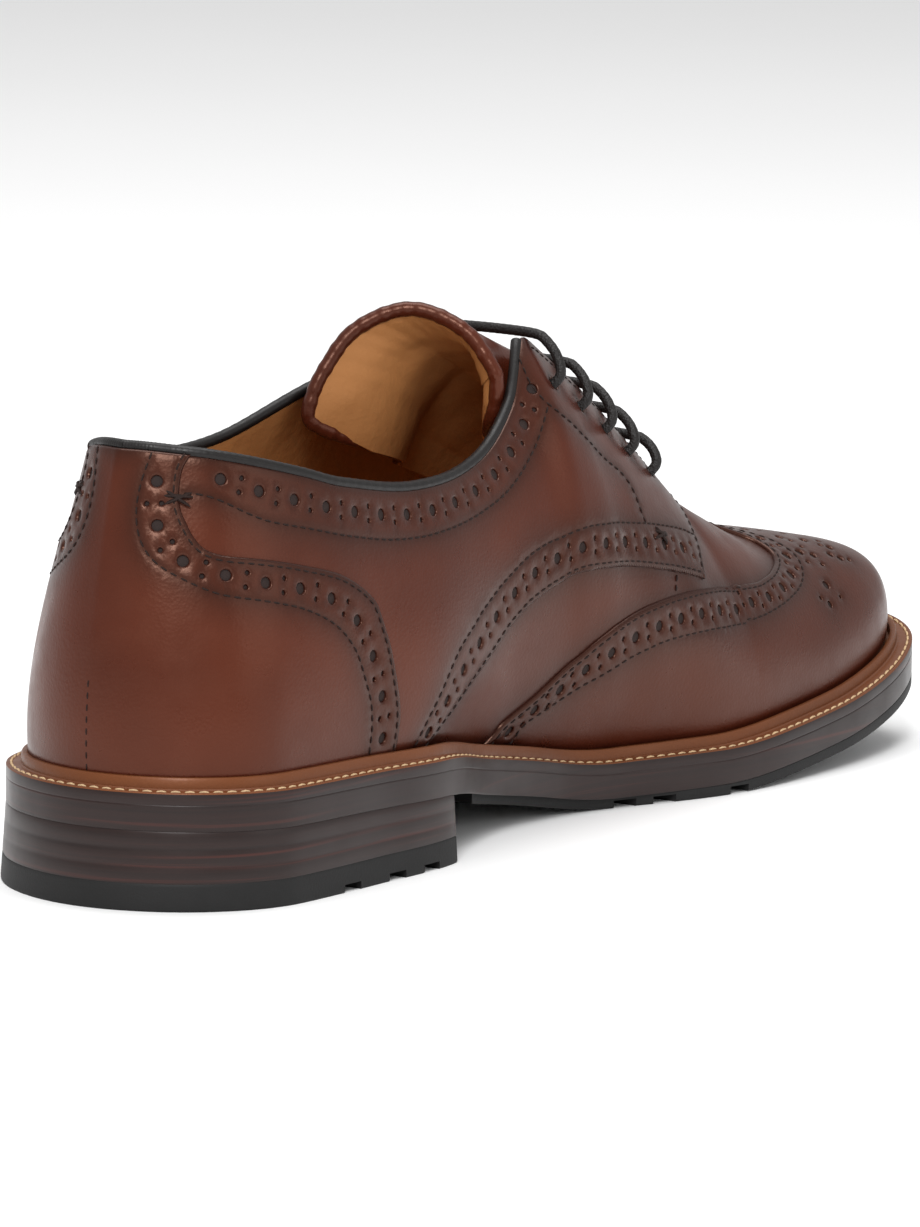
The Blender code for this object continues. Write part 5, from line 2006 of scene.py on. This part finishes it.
class SHOE_OT_welt(bpy.types.Operator):
    """Storm welt with its raised bead and cream thread"""

    bl_idname = "brogue.welt"
    bl_label = "Welt"

    def execute(self, context):
        rings = []
        for i in range(WELT_SAMPLES):
            turn = 2 * i / WELT_SAMPLES
            ring = []
            for inset, above in self.section(turn):
                plan, _ = sole_edge(turn, inset)
                ring.append((plan[0], plan[1], welt_bottom(plan[0]) + above))
            rings.append(ring)
        points = np.array(rings).reshape(-1, 3) + ORIGIN
        faces = ring_faces(WELT_SAMPLES, len(rings[0]), closed=True)
        mesh = plain_mesh("storm_welt", points, faces)
        materials = [material("welt"), material("edge")]
        piece = add("storm_welt", mesh, materials, 40, ["welt"])
        self.stain_edge(piece.data)
        self.sew()
        return {"FINISHED"}

    def section(self, turn):
        """Outline of the welt across: an inset and a height at each corner."""
        side, share = side_and_share(turn)
        margin = welt_margin(turn)
        flare = math.radians(smooth(FULLNESS, share, 1 if side == INNER else 2))
        bead_in = margin - BEAD_CLEARANCE - BEAD_HEIGHT * math.tan(flare) + 0.6 * MM
        bead_out = bead_in - BEAD_WIDTH - 0.3 * MM
        top, bead = WELT_THICKNESS, WELT_THICKNESS + BEAD_HEIGHT
        groove = sizes().welt_seam
        edge = (
            (0.14 * MM, -GAP / 2), (0.03 * MM, 0.1 * MM), (0.0, 0.3 * MM), (0.0, top - 0.35 * MM),
            (0.10 * MM, top - 0.12 * MM), (0.3 * MM, top),
        )
        sewn = ((groove - 0.45 * MM, top), (groove, top - 0.25 * MM), (groove + 0.5 * MM, top))
        storm = (
            (bead_out - 0.35 * MM, top), (bead_out, top + 0.3 * MM),
            (bead_out + 0.12 * MM, bead - 0.6 * MM), (bead_out + 0.45 * MM, bead - 0.1 * MM),
            ((bead_in + bead_out) / 2 + 0.2 * MM, bead), (bead_in - 0.1 * MM, bead - 0.35 * MM),
            (bead_in, top + 0.2 * MM),
        )
        return (*edge, *sewn, *storm, (margin + WALL, top), (margin + WALL, 0.0))

    def stain_edge(self, mesh):
        """The outer edge is waxed dark together with the sole."""
        for face in mesh.polygons:
            along = face.center.x - ORIGIN[0]
            above = face.center.z - welt_bottom(along)
            if above < WELT_THICKNESS - 0.3 * MM and face.normal.z < 0.6:
                face.material_index = 1

    def sew(self):
        """Cream stitches in the groove of the welt, all round."""
        line = []
        for i in range(SEAM_SAMPLES + 1):
            plan, _ = sole_edge(2 * i / SEAM_SAMPLES, sizes().welt_seam)
            line.append((plan[0], plan[1], welt_top(plan[0]) + THREAD_DEPTH))
        line = np.array(line) + ORIGIN
        points = evenly(line, int(run_of(line)[-1] / sizes().welt_pitch) + 1)
        ways = points[1:] - points[:-1]
        ways /= np.linalg.norm(ways, axis=1)[:, None]
        across = np.cross(ways, (0, 0, 1))
        normals = np.cross(across, ways)
        parts = stitches((points[1:] + points[:-1]) / 2, ways, normals, 2.5 * MM, 0.30 * MM)
        add("welt_stitches", joined("welt_stitches", parts), material("welt_thread"))


# Stage: the camera stands where the photograph was taken from

CAMERA_AZIMUTH = 54.7
CAMERA_TILT = 9.2
CAMERA_ROLL = 0.6
CAMERA_DISTANCE = 1.8
CAMERA_LENS = 7733.5 * 36 / 1227
CAMERA_TARGET = (0.1453, 0.0, 0.0461)
CAMERA_SHIFT = ((460 - 459.8) / 1227, (613.3 - 613.5) / 1227)


SKY = 0.6
LIGHTS = (
    # name, place, aimed at, width, height, power
    ("key_left", (-1.5, -0.9, 1.5), (-0.05, 0, 0.05), 0.6, 0.9, 27),
    ("top", (0.3, 0.2, 2.0), (0, 0, 0.05), 1.6, 1.2, 24),
    ("front_fill", (0.3, -2.0, 0.8), (0, 0, 0.05), 1.2, 1.0, 4),
)


class SHOE_OT_stage(bpy.types.Operator):
    """Pale floor, soft studio lights and the camera"""

    bl_idname = "brogue.stage"
    bl_label = "Stage"

    def execute(self, context):
        context.scene.view_settings.view_transform = "Standard"
        self.floor()
        self.lights()
        self.camera()
        return {"FINISHED"}

    def floor(self):
        paint = Painter("pale_floor")
        tone = paint.mix(paint.noise(3), (0.93, 0.93, 0.93, 1), (0.95, 0.95, 0.95, 1))
        plane = plain_mesh("floor", [(-6, -6, 0), (6, -6, 0), (6, 6, 0), (-6, 6, 0)], [(0, 1, 2, 3)])
        item = bpy.data.objects.new("floor", plane)
        bpy.context.scene.collection.objects.link(item)
        plane.materials.append(paint.finish(tone, 0.9, Specular_IOR_Level=0.1))

    def lights(self):
        world = bpy.data.worlds.new("studio")
        bpy.context.scene.world = world
        world.use_nodes = True
        sky = world.node_tree.nodes["Background"]
        sky.inputs["Color"].default_value = (1, 1, 1, 1)
        sky.inputs["Strength"].default_value = SKY
        for name, place, target, width, height, power in LIGHTS:
            light = bpy.data.lights.new(name, "AREA")
            light.shape, light.size, light.size_y, light.energy = "RECTANGLE", width, height, power
            item = bpy.data.objects.new(name, light)
            item.location = place
            item.rotation_euler = (Vector(target) - Vector(place)).to_track_quat("-Z", "Y").to_euler()
            bpy.context.scene.collection.objects.link(item)

    def camera(self):
        turn, tilt, roll = (math.radians(a) for a in (CAMERA_AZIMUTH, CAMERA_TILT, CAMERA_ROLL))
        ahead = Vector((math.sin(turn) * math.cos(tilt), math.cos(turn) * math.cos(tilt), -math.sin(tilt)))
        right = Vector((math.cos(turn), -math.sin(turn), 0.0))
        up = right.cross(ahead)
        across = right * math.cos(roll) + up * math.sin(roll)
        above = up * math.cos(roll) - right * math.sin(roll)
        place = Vector(CAMERA_TARGET) + Vector(ORIGIN) - ahead * CAMERA_DISTANCE
        data = bpy.data.cameras.new("camera")
        data.lens, data.sensor_width = CAMERA_LENS, 36.0
        data.shift_x, data.shift_y = CAMERA_SHIFT
        data.clip_end = 50.0
        item = bpy.data.objects.new("camera", data)
        frame_of = Matrix((across, above, -ahead)).transposed().to_4x4()
        frame_of.translation = place
        item.matrix_world = frame_of
        bpy.context.scene.collection.objects.link(item)
        bpy.context.scene.camera = item


OPERATORS = (
    SHOE_OT_shell,
    SHOE_OT_panels,
    SHOE_OT_threads,
    SHOE_OT_piping,
    SHOE_OT_tongue,
    SHOE_OT_lace,
    SHOE_OT_sole,
    SHOE_OT_welt,
    SHOE_OT_stage,
)


class SHOE_PT_brogue(bpy.types.Panel):
    """Buttons that build the shoe"""

    bl_idname = "SHOE_PT_brogue"
    bl_label = "Brogue Shoe"
    bl_space_type = "VIEW_3D"
    bl_region_type = "UI"
    bl_category = "Brogue"

    def draw(self, context):
        for settings in (context.scene.brogue_sizes, context.scene.brogue_colours):
            for key in type(settings).__annotations__:
                self.layout.prop(settings, key)
        for operator in OPERATORS:
            self.layout.operator(operator.bl_idname)


CLASSES = (BrogueSizes, BrogueColours, *OPERATORS, SHOE_PT_brogue)


def register():
    """Make the settings, the operators and the panel known to Blender."""
    for one in CLASSES:
        bpy.utils.register_class(one)
    bpy.types.Scene.brogue_sizes = bpy.props.PointerProperty(type=BrogueSizes)
    bpy.types.Scene.brogue_colours = bpy.props.PointerProperty(type=BrogueColours)


def unregister():
    """Take them out of Blender again."""
    del bpy.types.Scene.brogue_colours
    del bpy.types.Scene.brogue_sizes
    for one in reversed(CLASSES):
        bpy.utils.unregister_class(one)


def main():
    """Build every piece in order."""
    register()
    for operator in OPERATORS:
        group, name = operator.bl_idname.split(".")
        getattr(getattr(bpy.ops, group), name)()


if __name__ == "__main__":
    main()
